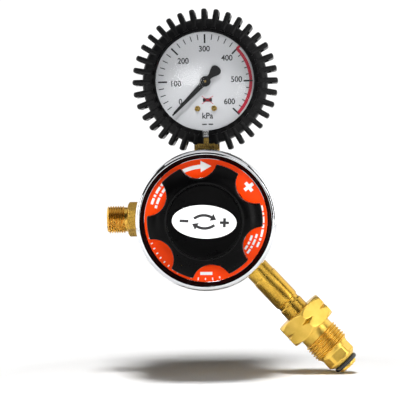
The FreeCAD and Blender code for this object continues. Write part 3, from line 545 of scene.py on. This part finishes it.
FACE_BEHIND, TOWER_FILLET, FILLET_OUT = -33.5, 2.4, 23.6
DARK_REFLECTION_IN, DARK_REFLECTION_OUT, DARK_REFLECTION_BEHIND = 34.3, 36.6, -33.45          # painted dark reflection: the chrome slope inside the bonnet's rim, painted black
skirt = [
    (0, 36.7), (0, 38.8), (-0.5, 39.3), (-6.0, 39.3), (-6.25, 39.05), (-6.75, 39.05), (-7.0, 39.3),
    (-28.5, 39.3), (-28.9, 38.85), (-29.7, 38.85), (-30.1, 39.25), (-33.6, 39.2), (-34.9, 38.95),
    (-35.9, 38.45), (-36.6, 37.7), (-36.95, 36.95), (-36.9, 36.45), (-36.55, 36.1), (-34.4, 34.9),
    (-33.9, 34.5), (FACE_BEHIND, 34.4), (FACE_BEHIND, FILLET_OUT)]
fillet = [(FACE_BEHIND - TOWER_FILLET * (1 - math.cos(math.radians(a))),
           FILLET_OUT - TOWER_FILLET * math.sin(math.radians(a))) for a in range(9, 91, 9)]
tower = [
    (-38.0, 21.2), (-38.2, 21.05), (-38.6, 21.05), (-38.8, 21.2), (-44.2, 21.2), (-45.4, 20.0), (-45.4, 6.1),
    (-40.4, 6.1), (-40.4, 18.0), (-30, 18), (-28, 25), (-24, 33), (-11.6, 33), (-11.6, 36.7)]
bonnet = lathe(bmesh.new(), "Y", shifted(skirt + fillet + tower), 240, 0.12, closed=True)
bonnet_piece = finished("bonnet_shell", bonnet, REG, "chrome", "regulator", sharp=32,
                        replaces=["bonnet"])
# the chrome slope inside the rim gets a second, black finish: a painted dark reflection
bonnet_piece.data.materials.append(M["painted_dark_reflection"])
for face in bonnet_piece.data.polygons:
    out = math.hypot(face.center.x, face.center.z)
    if DARK_REFLECTION_IN < out < DARK_REFLECTION_OUT and face.center.y < REAR + DARK_REFLECTION_BEHIND:
        face.material_index = 1

label_y = front_of("face_label")
LABEL_IN, LABEL_OUT, LABEL_THICK = 23.85, 34.1, 0.28
label_outline = [(label_y, LABEL_IN), (label_y, LABEL_OUT), (label_y + LABEL_THICK, LABEL_OUT),
                 (label_y + LABEL_THICK, LABEL_IN)]
finished("face_label_film", lathe(bmesh.new(), "Y", label_outline, 200, 0.05, closed=True), REG,
         "label_orange", "regulator", replaces=["face_label"])


def plus(bm, y, at, size, width, turn):
    """Plus sign of two bars, turned by an angle in degrees."""
    c, s = math.cos(math.radians(turn)), math.sin(math.radians(turn))
    for dx, dz in ((size, 0), (0, size)):
        a = (at[0] - dx * c + dz * s, at[1] - dx * s - dz * c)
        b = (at[0] + dx * c - dz * s, at[1] + dx * s + dz * c)
        bar(bm, y - (INK_LIFT if dz else 0), a, b, width)
    return bm


def arrow_head(bm, y, at, direction, length, width):
    """Triangle with its tip beyond at, along a direction in degrees."""
    c, s = math.cos(math.radians(direction)), math.sin(math.radians(direction))
    tip = (at[0] + length * c, at[1] + length * s)
    left = (at[0] - width / 2 * s, at[1] + width / 2 * c)
    right = (at[0] + width / 2 * s, at[1] - width / 2 * c)
    return polygon(bm, y, [left, tip, right])


def face_graphics():
    """White marks round the orange label: a turn arrow, plus and minus, and rows of plain dashes."""
    bm = bmesh.new()
    y = label_y - 0.03
    ribbon(bm, y, 28.9, 31.1, 117, 94)
    arrow_head(bm, y - INK_LIFT, polar(30.0, 94.5), 1.5, 6.0, 6.4)
    plus(bm, y, polar(30.2, 37), 3.0, 1.9, 37)
    for radius, at, spans in ((31.3, 138, (5, 9, 4, 8)), (28.6, 140, (8, 5, 9, 5))):
        for span in spans:
            ribbon(bm, y, radius - 0.7, radius + 0.7, at, at + span - 1.6)
            at += span
    for radius, at, spans in ((31.9, 14, (7, 4, 8, 5, 9, 4, 7)), (29.3, -16, (6, 8, 4, 7)),
                              (26.9, -19, (8, 5, 7))):
        for span in spans:
            ribbon(bm, y, radius - 0.6, radius + 0.6, at, at - span + 1.5)
            at -= span
    bar(bm, y, polar(29.6, -97), polar(29.6, -84), 1.7)
    for k in range(5):
        ribbon(bm, y, 31.9, 33.4 if k % 2 else 33.0, -106 + 7 * k, -106 + 7 * k + 1.2)
    for k in range(9):
        ribbon(bm, y, 32.0, 33.2, 196 + 5.5 * k, 197.2 + 5.5 * k)
    print_piece("face_label_marks", bm, REG, "print_white", "regulator")


face_graphics()

# ---------------------------------------------------------------- knob
KNOB_FRONT = front_of("knob")
LOBES, KNOB_R, SCALLOP_R, FLOOR_R, FIRST_SCALLOP = 6, 31.7, 10.8, 23.7, 35.6


def lobe_radius(t):
    """The knob's outline: a circle with a scallop between each two lobes, corners rounded."""
    reach = FLOOR_R + SCALLOP_R
    r = KNOB_R
    for k in range(LOBES):
        a = t - math.radians(FIRST_SCALLOP + 60 * k)
        a = (a + math.pi) % (2 * math.pi) - math.pi
        along = reach * math.cos(a)
        d = SCALLOP_R ** 2 - reach ** 2 + along ** 2
        if d > 0 and abs(a) < 1:
            near = along - math.sqrt(d)
            blend = 0.7
            h = max(0.0, min(1.0, 0.5 + 0.5 * (r - near) / blend))
            r = r * (1 - h) + near * h - blend * h * (1 - h) * 0.5
    return r


def make_knob():
    """Hollow lobed knob: rolled edge round the cap's seat, curved flank, rounded rim, bore and web."""
    front, rear = KNOB_FRONT, back_of("knob")
    bore, web = 21.8, front + 7.5
    flat_r, rim_inset = 21.5, 0.95
    angles = []
    for k in range(LOBES):
        middle = FIRST_SCALLOP + 60 * k
        for step in range(60):
            angles.append(math.radians(middle - 30 + step + 0.5))
        for edge in (-18.6, -18.0, -17.4, 17.4, 18.0, 18.6):
            angles.append(math.radians(middle + edge))
    angles = sorted(a % (2 * math.pi) for a in angles)
    radii = [lobe_radius(t) for t in angles]

    def flank(r):
        d = max(0.0, r - flat_r)
        return front + 0.7 + 0.197 * d + 0.0411 * d * d

    def row(place_of):
        out = []
        for t, big in zip(angles, radii):
            y, r = place_of(big)
            out.append(Vector((r * math.cos(t), y, r * math.sin(t))))
        return out

    def ring(y, r):
        return row(lambda big: (y, r))

    def lobed(y, inset):
        return row(lambda big: (y, big - inset))

    rows = [ring(front + y, r) for y, r in ((2.0, 20.46), (0.3, 20.46), (0.06, 20.56), (0, 20.75), (0, 20.95),
                                            (0.12, 21.15), (0.55, 21.35))]
    for k in range(9):
        f = k / 8
        rows.append(row(lambda big, f=f: (flank(flat_r + f * (big - rim_inset - flat_r)),
                                          flat_r + f * (big - rim_inset - flat_r))))
    for inset, drop in ((0.62, 0.26), (0.32, 0.62), (0.1, 1.05), (0.0, 1.6)):
        rows.append(row(lambda big, i=inset, d=drop: (flank(big - rim_inset) + d, big - i)))
    rows += [lobed(rear - 0.7, 0), lobed(rear - 0.2, 0.2), lobed(rear, 0.7), ring(rear, bore + 0.3),
             ring(rear - 0.3, bore), ring(web, bore), ring(web, 6.1), ring(front + 2.0, 6.1)]
    finished("knob_moulding", grid(bmesh.new(), rows, close_rows=True), REG, "knob_plastic", "knob",
             sharp=50, replaces=["knob"])
    cap_front = front_of("knob_cap")
    cap = [(front + 1.95, 0.0), (front + 1.95, 20.3), (cap_front + 0.35, 20.3), (cap_front + 0.1, 20.05),
           (cap_front, 19.6), (cap_front + 0.02, 18.9), (cap_front + 0.06, 18.4), (cap_front + 0.06, 0.0)]
    finished("knob_cap_disc", lathe(bmesh.new(), "Y", cap, 160, 0.1), REG, "knob_plastic", "knob",
             replaces=["knob_cap"])


make_knob()
LABEL_FRONT = front_of("knob_label")
LABEL_TURN = -3.5


def knob_label():
    """White oval with a black turn arrow between minus and plus."""
    low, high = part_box("knob_label")
    half_x, half_z = (high.x - low.x) / 2 / MM, (high.z - low.z) / 2 / MM
    c, s = math.cos(math.radians(LABEL_TURN)), math.sin(math.radians(LABEL_TURN))

    def turned(x, z):
        return x * c - z * s, x * s + z * c

    bm = bmesh.new()
    rows = []
    for scale, back in ((1.0, 0.24), (1.0, 0.06), (0.994, 0.0), (0.6, 0.0), (0.02, 0.0), (0.0, 0.0)):
        row = []
        for t in circle(128):
            x, z = turned(half_x * scale * math.cos(t), half_z * scale * math.sin(t))
            row.append(Vector((x, LABEL_FRONT + back, z)))
        rows.append(row)
    grid(bm, rows)
    finished("knob_label_plate", bm, REG, "label_white", "knob", replaces=["knob_label"])
    bm = bmesh.new()
    y = LABEL_FRONT - 0.02
    bar(bm, y, turned(-13.4, 0), turned(-8.6, 0), 1.5)
    plus(bm, y, turned(11.0, 0), 2.5, 1.5, LABEL_TURN)
    for side in (1, -1):
        middle = turned(0, -5.2 * side)
        first = 90 * side + LABEL_TURN + 40
        last = 90 * side + LABEL_TURN - 26
        ribbon(bm, y, 8.0, 9.5, first, last, 16, middle)
        x, z = polar(8.75, last)
        arrow_head(bm, y - INK_LIFT, (middle[0] + x, middle[1] + z), last - 90, 3.0, 4.4)
    print_piece("knob_label_marks", bm, REG, "print_black", "knob")


knob_label()

# ---------------------------------------------------------------- outlet


def hexagonal(across_flats, turn=0.0):
    """Limits a lathe outline to a hexagon; turn is a corner's angle in degrees."""
    def limit(along, out, t):
        a = (math.degrees(t) - turn + 30) % 60 - 30
        flat = across_flats / 2 / math.cos(math.radians(abs(30 - abs(a))))
        return min(out, flat)
    return limit


def stepped(start, end, count):
    return [start + (end - start) * k / count for k in range(count + 1)]


def hex_outline(across_flats, start, end, run, rows=8):
    """Envelope of a hexagon with rounded turned chamfers, run millimetres long, at both ends."""
    corner = across_flats / math.sqrt(3)
    land = across_flats / 2 - 0.25
    rise = corner - land
    curve = [(run * f, land + rise * math.sin(math.pi / 2 * f) ** 0.9) for f in stepped(0, 1, rows)]
    return [(start + a, r) for a, r in curve] + [(end - a, r) for a, r in reversed(curve)]


def merged(name, parts, place, mat, body, sharp, replaces=()):
    """Joins several bmeshes into one piece."""
    whole = bmesh.new()
    for bm in parts:
        cleaned(bm)
        mesh = bpy.data.meshes.new("part")
        bm.to_mesh(mesh)
        bm.free()
        whole.from_mesh(mesh)
        bpy.data.meshes.remove(mesh)
    mesh = bpy.data.meshes.new(name)
    whole.to_mesh(mesh)
    whole.free()
    return as_piece(name, mesh, place, mat, body, sharp, replaces)


def make_outlet():
    """Hose outlet: hexagon, neck and a 5/8 inch - 18 thread."""
    end = (AXIS.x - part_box("outlet_fitting")[0].x) / MM
    start = end - 10.2
    flats, crest, pitch, depth = 17.2, 15.875 / 2, 1.411, 0.86
    root = crest - depth
    port_face, hex_end = end - 19.8, end - 11.8
    blank = lathe(bmesh.new(), "X", hex_outline(flats, port_face, hex_end, 1.3), 180, 0,
                  shape=hexagonal(flats, 90))
    tube = [(port_face - 8, 2.7), (port_face - 8, 6.3), (port_face + 0.02, 6.3), (port_face + 0.02, 8.35),
            (hex_end - 0.02, 8.35), (hex_end, 7.9), (hex_end + 0.15, 7.0), (start - 0.3, 7.0),
            (start + 0.1, root - 0.02), (end - 0.25, root - 0.02), (end, root - 0.3), (end, 5.0),
            (end - 1.6, 4.1), (end - 10.5, 4.1), (end - 11.9, 2.7)]
    core = lathe(bmesh.new(), "X", tube, 120, 0.12, closed=True)
    turns = thread(bmesh.new(), start, end - 0.02, crest, pitch, depth, hand=1)
    merged("outlet_threaded", [blank, core, turns], OUTLET, "brass_port", "regulator", 36,
           ["outlet_fitting"])


make_outlet()

# ---------------------------------------------------------------- inlet


def inlet_reach(node):
    """How far a node reaches along the inlet, in millimetres from the adjusting axis."""
    d = Vector(mounts["inlet"]["axis"])
    values = [(v.co - AXIS).dot(d) / MM for v in frame["nodes"][node].data.vertices]
    return min(values), max(values)


def make_inlet():
    """Inlet stem, union nut with a 0.885 inch - 14 thread, and the nose with its O-ring."""
    stem = [(37.2, 6.9), (38.0, 6.95), (38.0, 7.1), (46.2, 7.1), (46.6, 7.4), (64.2, 7.4), (64.35, 7.28),
            (65.1, 7.24), (65.8, 6.7), (67.6, 6.7), (68.2, 7.28), (97.0, 7.28), (97.6, 6.7), (97.6, 5.0)]
    finished("inlet_stem_turned", lathe(bmesh.new(), "X", stem, 144, 0.22), INLET, "brass_stem", "regulator",
             replaces=["inlet_stem"])

    rear, front = inlet_reach("union_nut")
    flats, hex_end, neck, bore = 28.6, rear + 13.8, 10.0, 7.42
    middle, corner = (rear + hex_end) / 2, flats / math.sqrt(3)
    start, crest, pitch, depth = front - 11.3, 11.2, 1.814, 1.12
    root = crest - depth
    notch_half, notch_depth = 1.7, 1.9
    envelope = hex_outline(flats, rear, hex_end, 3.4)
    half = len(envelope) // 2
    notch = [(middle + d, corner) for d in stepped(-3.0, 3.0, 20)]
    limit = hexagonal(flats, -4)

    def nut_shape(along, out, t):
        off = abs(along - middle)
        vee = corner - notch_depth + off * notch_depth / notch_half if off < notch_half else 99
        return min(limit(along, out, t), vee)

    blank = lathe(bmesh.new(), "X", envelope[:half] + notch + envelope[half:], 270, 0, shape=nut_shape)
    ends = lathe(bmesh.new(), "X", [(rear + 0.02, bore), (rear + 0.02, flats / 2 - 0.15)], 120, 0)
    body = [(hex_end - 0.02, flats / 2 - 0.2), (hex_end, 13.6), (hex_end, neck + 0.4), (hex_end + 0.3, neck),
            (start - 0.5, neck), (start, root - 0.02), (front - 0.3, root - 0.02), (front, root - 0.3),
            (front, 9.75), (front - 5.4, 9.75), (front - 5.4, bore), (rear + 0.02, bore)]
    shank = lathe(bmesh.new(), "X", body, 144, 0.15)
    turns = thread(bmesh.new(), start, front - 0.02, crest, pitch, depth, hand=1, count=120, lead_in=1.3)
    merged("union_nut_threaded", [blank, ends, shank, turns], INLET, "brass_nut", "union_nut",
           34, ["union_nut"])

    tip = inlet_reach("inlet_nose")[1]
    flats_start, flats_end = 105.32, 109.98
    nose = [(98.1, 5.0), (98.1, 9.55), (104.6, 9.55), (105.0, 9.25), (105.25, 9.2), (105.3, 9.2),
            (105.35, 9.2), (107.5, 9.2), (109.95, 9.2), (110.0, 9.2), (110.05, 9.2), (110.7, 9.15),
            (112.7, 7.1), (112.8, 6.4), (112.8, 4.95), (115.4, 4.95), (115.4, 5.6), (tip - 0.7, 5.6),
            (tip, 4.9), (tip, 3.4), (tip - 1.2, 2.25), (104.0, 2.25), (104.0, 5.0)]
    six = hexagonal(16.9, 26)

    def flats_cut(along, out, t):
        return six(along, out, t) if flats_start < along < flats_end and out > 8 else out

    finished("inlet_nose_turned", lathe(bmesh.new(), "X", nose, 180, 0, shape=flats_cut), INLET, "brass_nut",
             "regulator", sharp=30, replaces=["inlet_nose"])
    seal_at, seal_mid_r, seal_r = 114.1, 6.25, 1.3
    seal = [(seal_at + seal_r * math.cos(a), seal_mid_r + seal_r * math.sin(a)) for a in circle(24)]
    finished("inlet_nose_seal", lathe(bmesh.new(), "X", seal, 120, 0, closed=True), INLET, "seal",
             "regulator", sharp=0, replaces=["inlet_nose_o_ring"])


make_inlet()

# ---------------------------------------------------------------- gauge boot
FINS, FIN_WIDTH, FIN_ROOT = 36, 3.0, -3.4


def fin(bm, angle, path):
    """One rubber fin: a rounded ridge along a path of (y, out) points."""
    half = FIN_WIDTH / 2
    path = softened(path, 1.2, steps=4)
    rows = []
    for i, p in enumerate(path):
        a = Vector(path[max(0, i - 1)])
        b = Vector(path[min(len(path) - 1, i + 1)])
        along = (b - a).normalized()
        normal = Vector((-along.y, along.x))
        if normal.y < 0 or (abs(normal.y) < 0.2 and normal.x > 0 and p[0] < 0):
            normal = -normal
        crown = [(half * math.sin(math.radians(t)), -half * 0.62 * (1 - math.cos(math.radians(t))))
                 for t in range(-90, 91, 22)]
        profile = [(-half, FIN_ROOT)] + crown + [(half, FIN_ROOT)]
        row = []
        for w, n in profile:
            y, r = p[0] + normal.x * n, p[1] + normal.y * n
            row.append(turned_point(y, r, w, angle))
        rows.append(row)
    made = [[bm.verts.new(q) for q in row] for row in rows]
    for low, high in zip(made, made[1:]):
        for k in range(len(low) - 1):
            bm.faces.new((low[k], low[k + 1], high[k + 1], high[k]))
        bm.faces.new((low[-1], low[0], high[0], high[-1]))
    bm.faces.new(made[0])
    bm.faces.new(list(reversed(made[-1])))


def turned_point(y, r, w, angle):
    """Point r out and w to the side, turned about Y by an angle in degrees."""
    c, s = math.cos(math.radians(angle)), math.sin(math.radians(angle))
    return Vector((r * c - w * s, y, r * s + w * c))


def cut_boxes(bm, boxes):
    """Cuts boxes, given by their corners, out of a closed mesh."""
    mesh = bpy.data.meshes.new("stock")
    bm.to_mesh(mesh)
    bm.free()
    stock = bpy.data.objects.new("stock", mesh)
    bpy.context.scene.collection.objects.link(stock)
    made = [stock]
    for low, high in boxes:
        tool = bmesh.new()
        bmesh.ops.create_cube(tool, size=1.0)
        for v in tool.verts:
            v.co = Vector([(low[i] + high[i]) / 2 + v.co[i] * (high[i] - low[i]) for i in range(3)])
        tool_mesh = bpy.data.meshes.new("tool")
        tool.to_mesh(tool_mesh)
        tool.free()
        block = bpy.data.objects.new("tool", tool_mesh)
        bpy.context.scene.collection.objects.link(block)
        made.append(block)
        modifier = stock.modifiers.new("cut", "BOOLEAN")
        modifier.object = block
        modifier.solver = "EXACT"
    result = bpy.data.meshes.new_from_object(stock.evaluated_get(bpy.context.evaluated_depsgraph_get()))
    for o in made:
        bpy.data.objects.remove(o)
    out = bmesh.new()
    out.from_mesh(result)
    return out


def make_boot():
    """Rubber boot: a shell round the gauge, split at the bottom for the socket, and its ring of fins."""
    front = front_of("gauge_boot")
    back = back_of("gauge_boot")
    bezel_r, case_r, body_r = 31.95, 31.1, 35.4
    shell = [(front + 0.5, 27.8), (front + 0.1, 28.1), (front, 28.6), (front + 0.1, 29.2),
             (front + 1.1, 32.4), (front + 2.2, 34.5), (front + 4.0, body_r), (back - 2.0, body_r),
             (back - 0.6, body_r - 0.6), (back, body_r - 2.0), (back, 27.0), (back - 1.9, 27.0),
             (back - 1.9, case_r), (front + 8.2, case_r), (front + 8.2, bezel_r), (front + 1.7, bezel_r),
             (front + 1.7, 27.8)]
    bm = cleaned(lathe(bmesh.new(), "Y", shell, 180, 0.4, closed=True))
    split, socket_hole = ((-1.6, -40, -60), (1.6, 40, -20)), ((-7.6, -7.8, -60), (7.6, 7.8, -20))
    bm = cut_boxes(bm, [split, socket_hole])
    tall = [(front + 0.35, 29.7), (front + 0.32, 31.0), (front + 2.3, 36.4), (front + 3.5, 40.0),
            (front + 4.9, 41.25), (back - 4.2, 41.25), (back - 2.3, 39.9), (back - 1.1, 34.0)]
    short = [(front + 0.35, 29.7), (front + 0.32, 31.0), (front + 2.1, 35.2), (front + 4.0, 36.25),
             (-8.6, 36.25)]
    fins = bmesh.new()
    for k in range(FINS):
        angle = 360 // FINS * k
        away = abs((angle + 90 + 180) % 360 - 180)          # from straight down, where the socket is
        if away < 5:
            continue
        fin(fins, angle, tall if away > 15 else short)
    bmesh.ops.recalc_face_normals(fins, faces=fins.faces)
    merged("boot_rubber_shell", [bm, fins], GAUGE, "boot_rubber", "regulator", 42,
           ["gauge_boot"])


make_boot()

# ---------------------------------------------------------------- gauge dial
INK = front_of("gauge_dial") - 0.03
ZERO, FULL, SPAN_KPA, RED_FROM = 225.0, -45.0, 600, 400


def at_pressure(kpa):
    """The pointer's angle, in degrees from +X towards +Z."""
    return ZERO + (FULL - ZERO) * kpa / SPAN_KPA


def dial_print():
    """The scale and its unit, a red zone from 400 up, two plain dashes and a plain bar crossed in red."""
    black, red = bmesh.new(), bmesh.new()
    for kpa in range(0, SPAN_KPA + 1, 20):
        a = at_pressure(kpa)
        if kpa % 100 == 0:
            bar(black, INK, polar(21.7, a), polar(26.9 if kpa != RED_FROM else 25.8, a), 0.95)
        else:
            low, high = (23.3, 25.0) if kpa > RED_FROM else (23.8, 26.9)
            bar(black, INK, polar(low, a), polar(high, a), 0.52)
    for text, at in (("300", (-0.3, 18.6)), ("200", (-12.4, 11.9)), ("100", (-16.9, -0.9)),
                     ("0", (-14.3, -11.2)), ("400", (12.5, 13.2)), ("500", (17.7, 1.0)),
                     ("600", (13.5, -11.5))):
        lettered(black, text, at, 3.15, INK)
    lettered(black, "kPa", (0.9, -19.4), 3.3, INK)
    for x in (-0.9, 2.7):
        bar(black, INK, (x - 1.3, -24.3), (x + 1.3, -24.3), 0.7)
    ribbon(red, INK, 24.9, 26.7, at_pressure(RED_FROM) + 0.9, at_pressure(SPAN_KPA) - 0.9)
    bar(red, INK - INK_LIFT, polar(25.8, at_pressure(RED_FROM)), polar(27.9, at_pressure(RED_FROM)), 1.5)
    cross_x, cross_z, half_x, half_z = 1.0, -10.5, 3.3, 2.3
    for sign in (1, -1):
        bar(red, INK - 0.01, (cross_x - half_x, cross_z - half_z * sign),
            (cross_x + half_x, cross_z + half_z * sign), 0.34)
    bar(black, INK, (-1.6, cross_z), (3.6, cross_z), 2.0)
    print_piece("dial_scale", black, GAUGE, "print_black", "regulator")
    print_piece("dial_red_zone", red, GAUGE, "print_red", "regulator")


dial_print()


def make_pointer():
    """Tapered pointer with a keyhole-shaped counterweight, a ringed hub and bevelled edges."""
    hub_front = front_of("gauge_pointer")
    blade_front = hub_front + 1.0
    tail, tip = 11.2, 25.5
    top = [(tip, 0.68), (3.0, 1.55), (0, 1.65), (-2.6, 1.3), (-4.2, 1.35), (-6.2, 2.2), (-8.0, 3.0),
           (-9.4, 3.05), (-10.6, 2.2), (-tail, 0.7)]
    outline = top + [(x, -z) for x, z in reversed(top)]
    outline = softened(outline, 0.5, closed=True, steps=2)
    c, s = math.cos(math.radians(ZERO)), math.sin(math.radians(ZERO))
    bm = bmesh.new()
    rows = []
    for inset, y in ((0.16, blade_front), (0.04, blade_front + 0.05), (0.0, blade_front + 0.14),
                     (0.0, blade_front + 0.5), (0.16, blade_front + 0.5)):
        row = []
        for x, z in outline:
            p = Vector((x, z))
            q = p - Vector((0.0, math.copysign(min(inset, abs(z)), z)))
            row.append(Vector((q.x * c - q.y * s, y, q.x * s + q.y * c)))
        rows.append(row)
    grid(bm, rows)
    bm.verts.ensure_lookup_table()
    count = len(outline)
    bm.faces.new([bm.verts[k] for k in range(count)])
    bm.faces.new([bm.verts[4 * count + k] for k in range(count)])
    ringed = [(0, 0.6), (0, 1.5), (0.2, 1.65), (0.2, 2.0), (0, 2.15), (0, 2.55), (0.5, 3.0), (2.0, 3.0)]
    hub = lathe(bmesh.new(), "Y", [(hub_front + y, r) for y, r in ringed], 96, 0.08)
    merged("pointer_blade", [bm, hub], GAUGE, "pointer_black", "pointer", 30,
           ["gauge_pointer"])


make_pointer()

# ---------------------------------------------------------------- finishes of the CAD nodes that stay
for node, finish in {
    "regulator_body": "brass_cast", "valve_nozzle": "brass_cad", "valve_poppet": "brass_cad",
    "valve_seat_disc": "rubber_cad", "rear_plug": "brass_cad",
    "rear_plug_o_ring": "rubber_cad", "diaphragm": "rubber_cad", "diaphragm_slip_ring": "steel_cad",
    "diaphragm_plate": "alloy_cad", "diaphragm_backing_plate": "alloy_cad", "diaphragm_nut": "brass_cad",
    "spring_button": "plated_cad", "adjusting_screw": "plated_cad",
    "screw_retaining_clip": "steel_cad", "inlet_filter": "sinter", "gauge_socket": "brass_cad",
    "gauge_case": "enamel_cad", "gauge_bezel": "bezel_cad", "gauge_window": "glass", "gauge_dial": "dial_cad",
    "gauge_dial_screws": "brass_cad", "gauge_pinion_shaft": "brass_cad", "gauge_sector": "brass_cad",
    "gauge_link": "brass_cad", "gauge_tube_tip": "brass_cad",
    "gauge_front_plate": "brass_cad", "gauge_back_plate": "brass_cad", "gauge_pillars": "brass_cad",
    "gauge_movement_screws": "steel_cad", "gauge_hairspring": "bronze", "gauge_blowout_plug": "rubber_cad",
}.items():
    mesh = frame["nodes"][node].data
    mesh.materials.clear()
    mesh.materials.append(M[finish])


def flexible(node, finish):
    """A copy of a CAD node that may change shape; it stands for the node."""
    source = frame["nodes"][node]
    piece = bpy.data.objects.new(node + "_flexing", source.data.copy())
    bpy.context.scene.collection.objects.link(piece)
    piece.matrix_world = source.matrix_world.copy()
    piece.data.materials.clear()
    piece.data.materials.append(M[finish])
    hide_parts(node)
    return piece


def coil(node, finish):
    """A coil spring: a copy of the CAD node that rides on the regulator, with a mesh of its own."""
    piece = flexible(node, finish)
    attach(piece, "regulator")
    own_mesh(piece)


coil("adjusting_spring", "plated_cad")
coil("valve_spring", "steel_cad")
tube = flexible("gauge_bourdon_tube", "bronze")
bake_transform(tube)

# ---------------------------------------------------------------- floor, light and camera
FLOOR_Z = cad_box[0].z - 0.0008
FLOOR_R, BACKDROP_R, BACKDROP_LOW, BACKDROP_HIGH = 3.0, 2.9, -0.02, 2.4
WHITE_GLOW = 1.05
GLOW_START, GLOW_END = 0.12, 0.45                 # the floor's own light grows between these distances
SHADE_START, SHADE_END = 0.25, 0.80               # the floor stops taking light between these


def staging(name, bm, mat):
    """Something that stands round the object, in metres from the floor's middle."""
    mesh = bpy.data.meshes.new(name)
    bm.to_mesh(mesh)
    bm.free()
    mesh.materials.append(mat)
    mesh.shade_smooth()
    made = bpy.data.objects.new(name, mesh)
    bpy.context.scene.collection.objects.link(made)
    made.location = (AXIS.x, 0, FLOOR_Z)
    return made


def make_floor():
    """Pale floor, lit by itself beyond the object's shadow, inside a ring of white backdrop."""
    m, t, b = material("floor_white", (0.93, 0.93, 0.93), 0.0, 0.6, Specular_IOR_Level=0.0)
    reach = t.nodes.new("ShaderNodeVectorMath")
    reach.operation = "LENGTH"
    t.links.new(coords(t), reach.inputs[0])
    away = mapped(t, reach.outputs["Value"], 0.0, 1.0, GLOW_START, GLOW_END)
    fading = mapped(t, reach.outputs["Value"], 0.0, 1.0, SHADE_START, SHADE_END)
    t.links.new(mixed(t, fading, (0.93, 0.93, 0.93), (0.0, 0.0, 0.0)), b.inputs["Base Color"])
    t.links.new(mapped(t, away, 0.0, WHITE_GLOW, 0.0, 1.0), b.inputs["Emission Strength"])
    staging("floor", lathe(bmesh.new(), "Z", [(0, 0), (0, 0.5), (0, 1.0), (0, FLOOR_R)], 96, 0), m)
    m = material("backdrop_white", (0.0, 0.0, 0.0), 0.0, 0.8, Emission_Strength=WHITE_GLOW)[0]
    for name, start in (("backdrop_rear", 0.0), ("backdrop_front", math.pi)):
        turn = [start + math.pi * k / 32 for k in range(33)]
        rows = [ring_points("Z", z, BACKDROP_R, turn) for z in (BACKDROP_LOW, BACKDROP_HIGH)]
        made = staging(name, grid(bmesh.new(), rows, close_columns=False), m)
        made.visible_diffuse = False
        made.visible_glossy = name == "backdrop_rear"


make_floor()

target = Vector((AXIS.x - 0.2 * MM, 0, AXIS.z + 5.7 * MM))


def area_light(name, where, size, power):
    """Rectangular light at an offset in metres from the target, aimed at it."""
    data = bpy.data.lights.new(name, "AREA")
    data.shape = "RECTANGLE"
    data.size, data.size_y = size
    data.energy = power
    lamp = bpy.data.objects.new(name, data)
    bpy.context.scene.collection.objects.link(lamp)
    lamp.location = target + Vector(where)
    lamp.rotation_mode = "QUATERNION"
    lamp.rotation_quaternion = (target - lamp.location).to_track_quat("-Z", "Y")
    return lamp


# soft lights that aren't seen in the gloss
for name, where, size, power in (("softbox_top", (0.03, -0.48, 1.0), (0.22, 0.34), 16.0),
                                 ("front_fill", (0.25, -1.2, 0.02), (0.9, 0.5), 10.5)):
    area_light(name, where, size, power).visible_glossy = False
# cards that are seen only in the gloss, with the radiance of each
for name, where, size, radiance in (("card_left", (-0.8, 0.25, 0.1), (0.7, 1.3), 0.85),
                                    ("card_right", (0.8, 0.25, 0.15), (0.7, 1.3), 0.85),
                                    ("card_top", (0.0, 0.0, 0.95), (1.5, 1.0), 0.9),
                                    ("card_right_strip", (0.68, -0.42, 0.10), (0.16, 0.6), 7.0),
                                    ("card_left_strip", (-0.66, -0.46, -0.02), (0.12, 0.5), 4.5),
                                    ("card_right_front", (0.50, -0.72, 0.52), (0.55, 0.55), 1.2),
                                    ("card_left_front", (-0.50, -0.85, 0.15), (0.40, 0.50), 1.3),
                                    ("card_glass_left", (-0.068, -1.42, 0.120), (0.030, 0.022), 9.0),
                                    ("card_glass_right", (-0.007, -1.42, 0.104), (0.011, 0.014), 7.0)):
    area_light(name, where, size, radiance * math.pi * size[0] * size[1]).visible_diffuse = False

world = bpy.data.worlds.new("studio")
world.use_nodes = True
bpy.context.scene.world = world
tree = world.node_tree
background = tree.nodes["Background"]
background.inputs["Strength"].default_value = 0.03
look = tree.nodes.new("ShaderNodeTexCoord")
split = tree.nodes.new("ShaderNodeSeparateXYZ")
tree.links.new(look.outputs["Generated"], split.inputs[0])
ramp = tree.nodes.new("ShaderNodeValToRGB")
tree.links.new(mapped(tree, split.outputs["Y"], 0.0, 1.0, -1.0, 1.0), ramp.inputs["Fac"])
stops = ramp.color_ramp.elements
stops[0].position, stops[0].color = 0.10, (0.05, 0.05, 0.055, 1)
stops[1].position, stops[1].color = 0.30, (1.0, 1.0, 1.0, 1)
tree.links.new(ramp.outputs["Color"], background.inputs["Color"])

# degrees, metres, and the width in millimetres that the picture spans at the target
AZIMUTH, ELEVATION, DISTANCE, ROLL, FRAME_MM = 2.0, 1.5, 1.3, -1.05, 238.4
SENSOR = 36
camera_data = bpy.data.cameras.new("camera")
camera_data.sensor_width = SENSOR
camera_data.lens = SENSOR * DISTANCE / (FRAME_MM * MM)
camera_data.clip_end = 20
camera = bpy.data.objects.new("camera", camera_data)
bpy.context.scene.collection.objects.link(camera)
a, e = math.radians(AZIMUTH), math.radians(ELEVATION)
back = Vector((math.sin(a) * math.cos(e), -math.cos(a) * math.cos(e), math.sin(e)))
camera.location = target + back * DISTANCE
camera.rotation_mode = "QUATERNION"
roll = Matrix.Rotation(math.radians(ROLL), 3, "Z").to_quaternion()
camera.rotation_quaternion = (-back).to_track_quat("-Z", "Y") @ roll
bpy.context.scene.camera = camera
bpy.context.scene.view_settings.view_transform = "Standard"
bpy.context.scene.view_settings.look = "None"
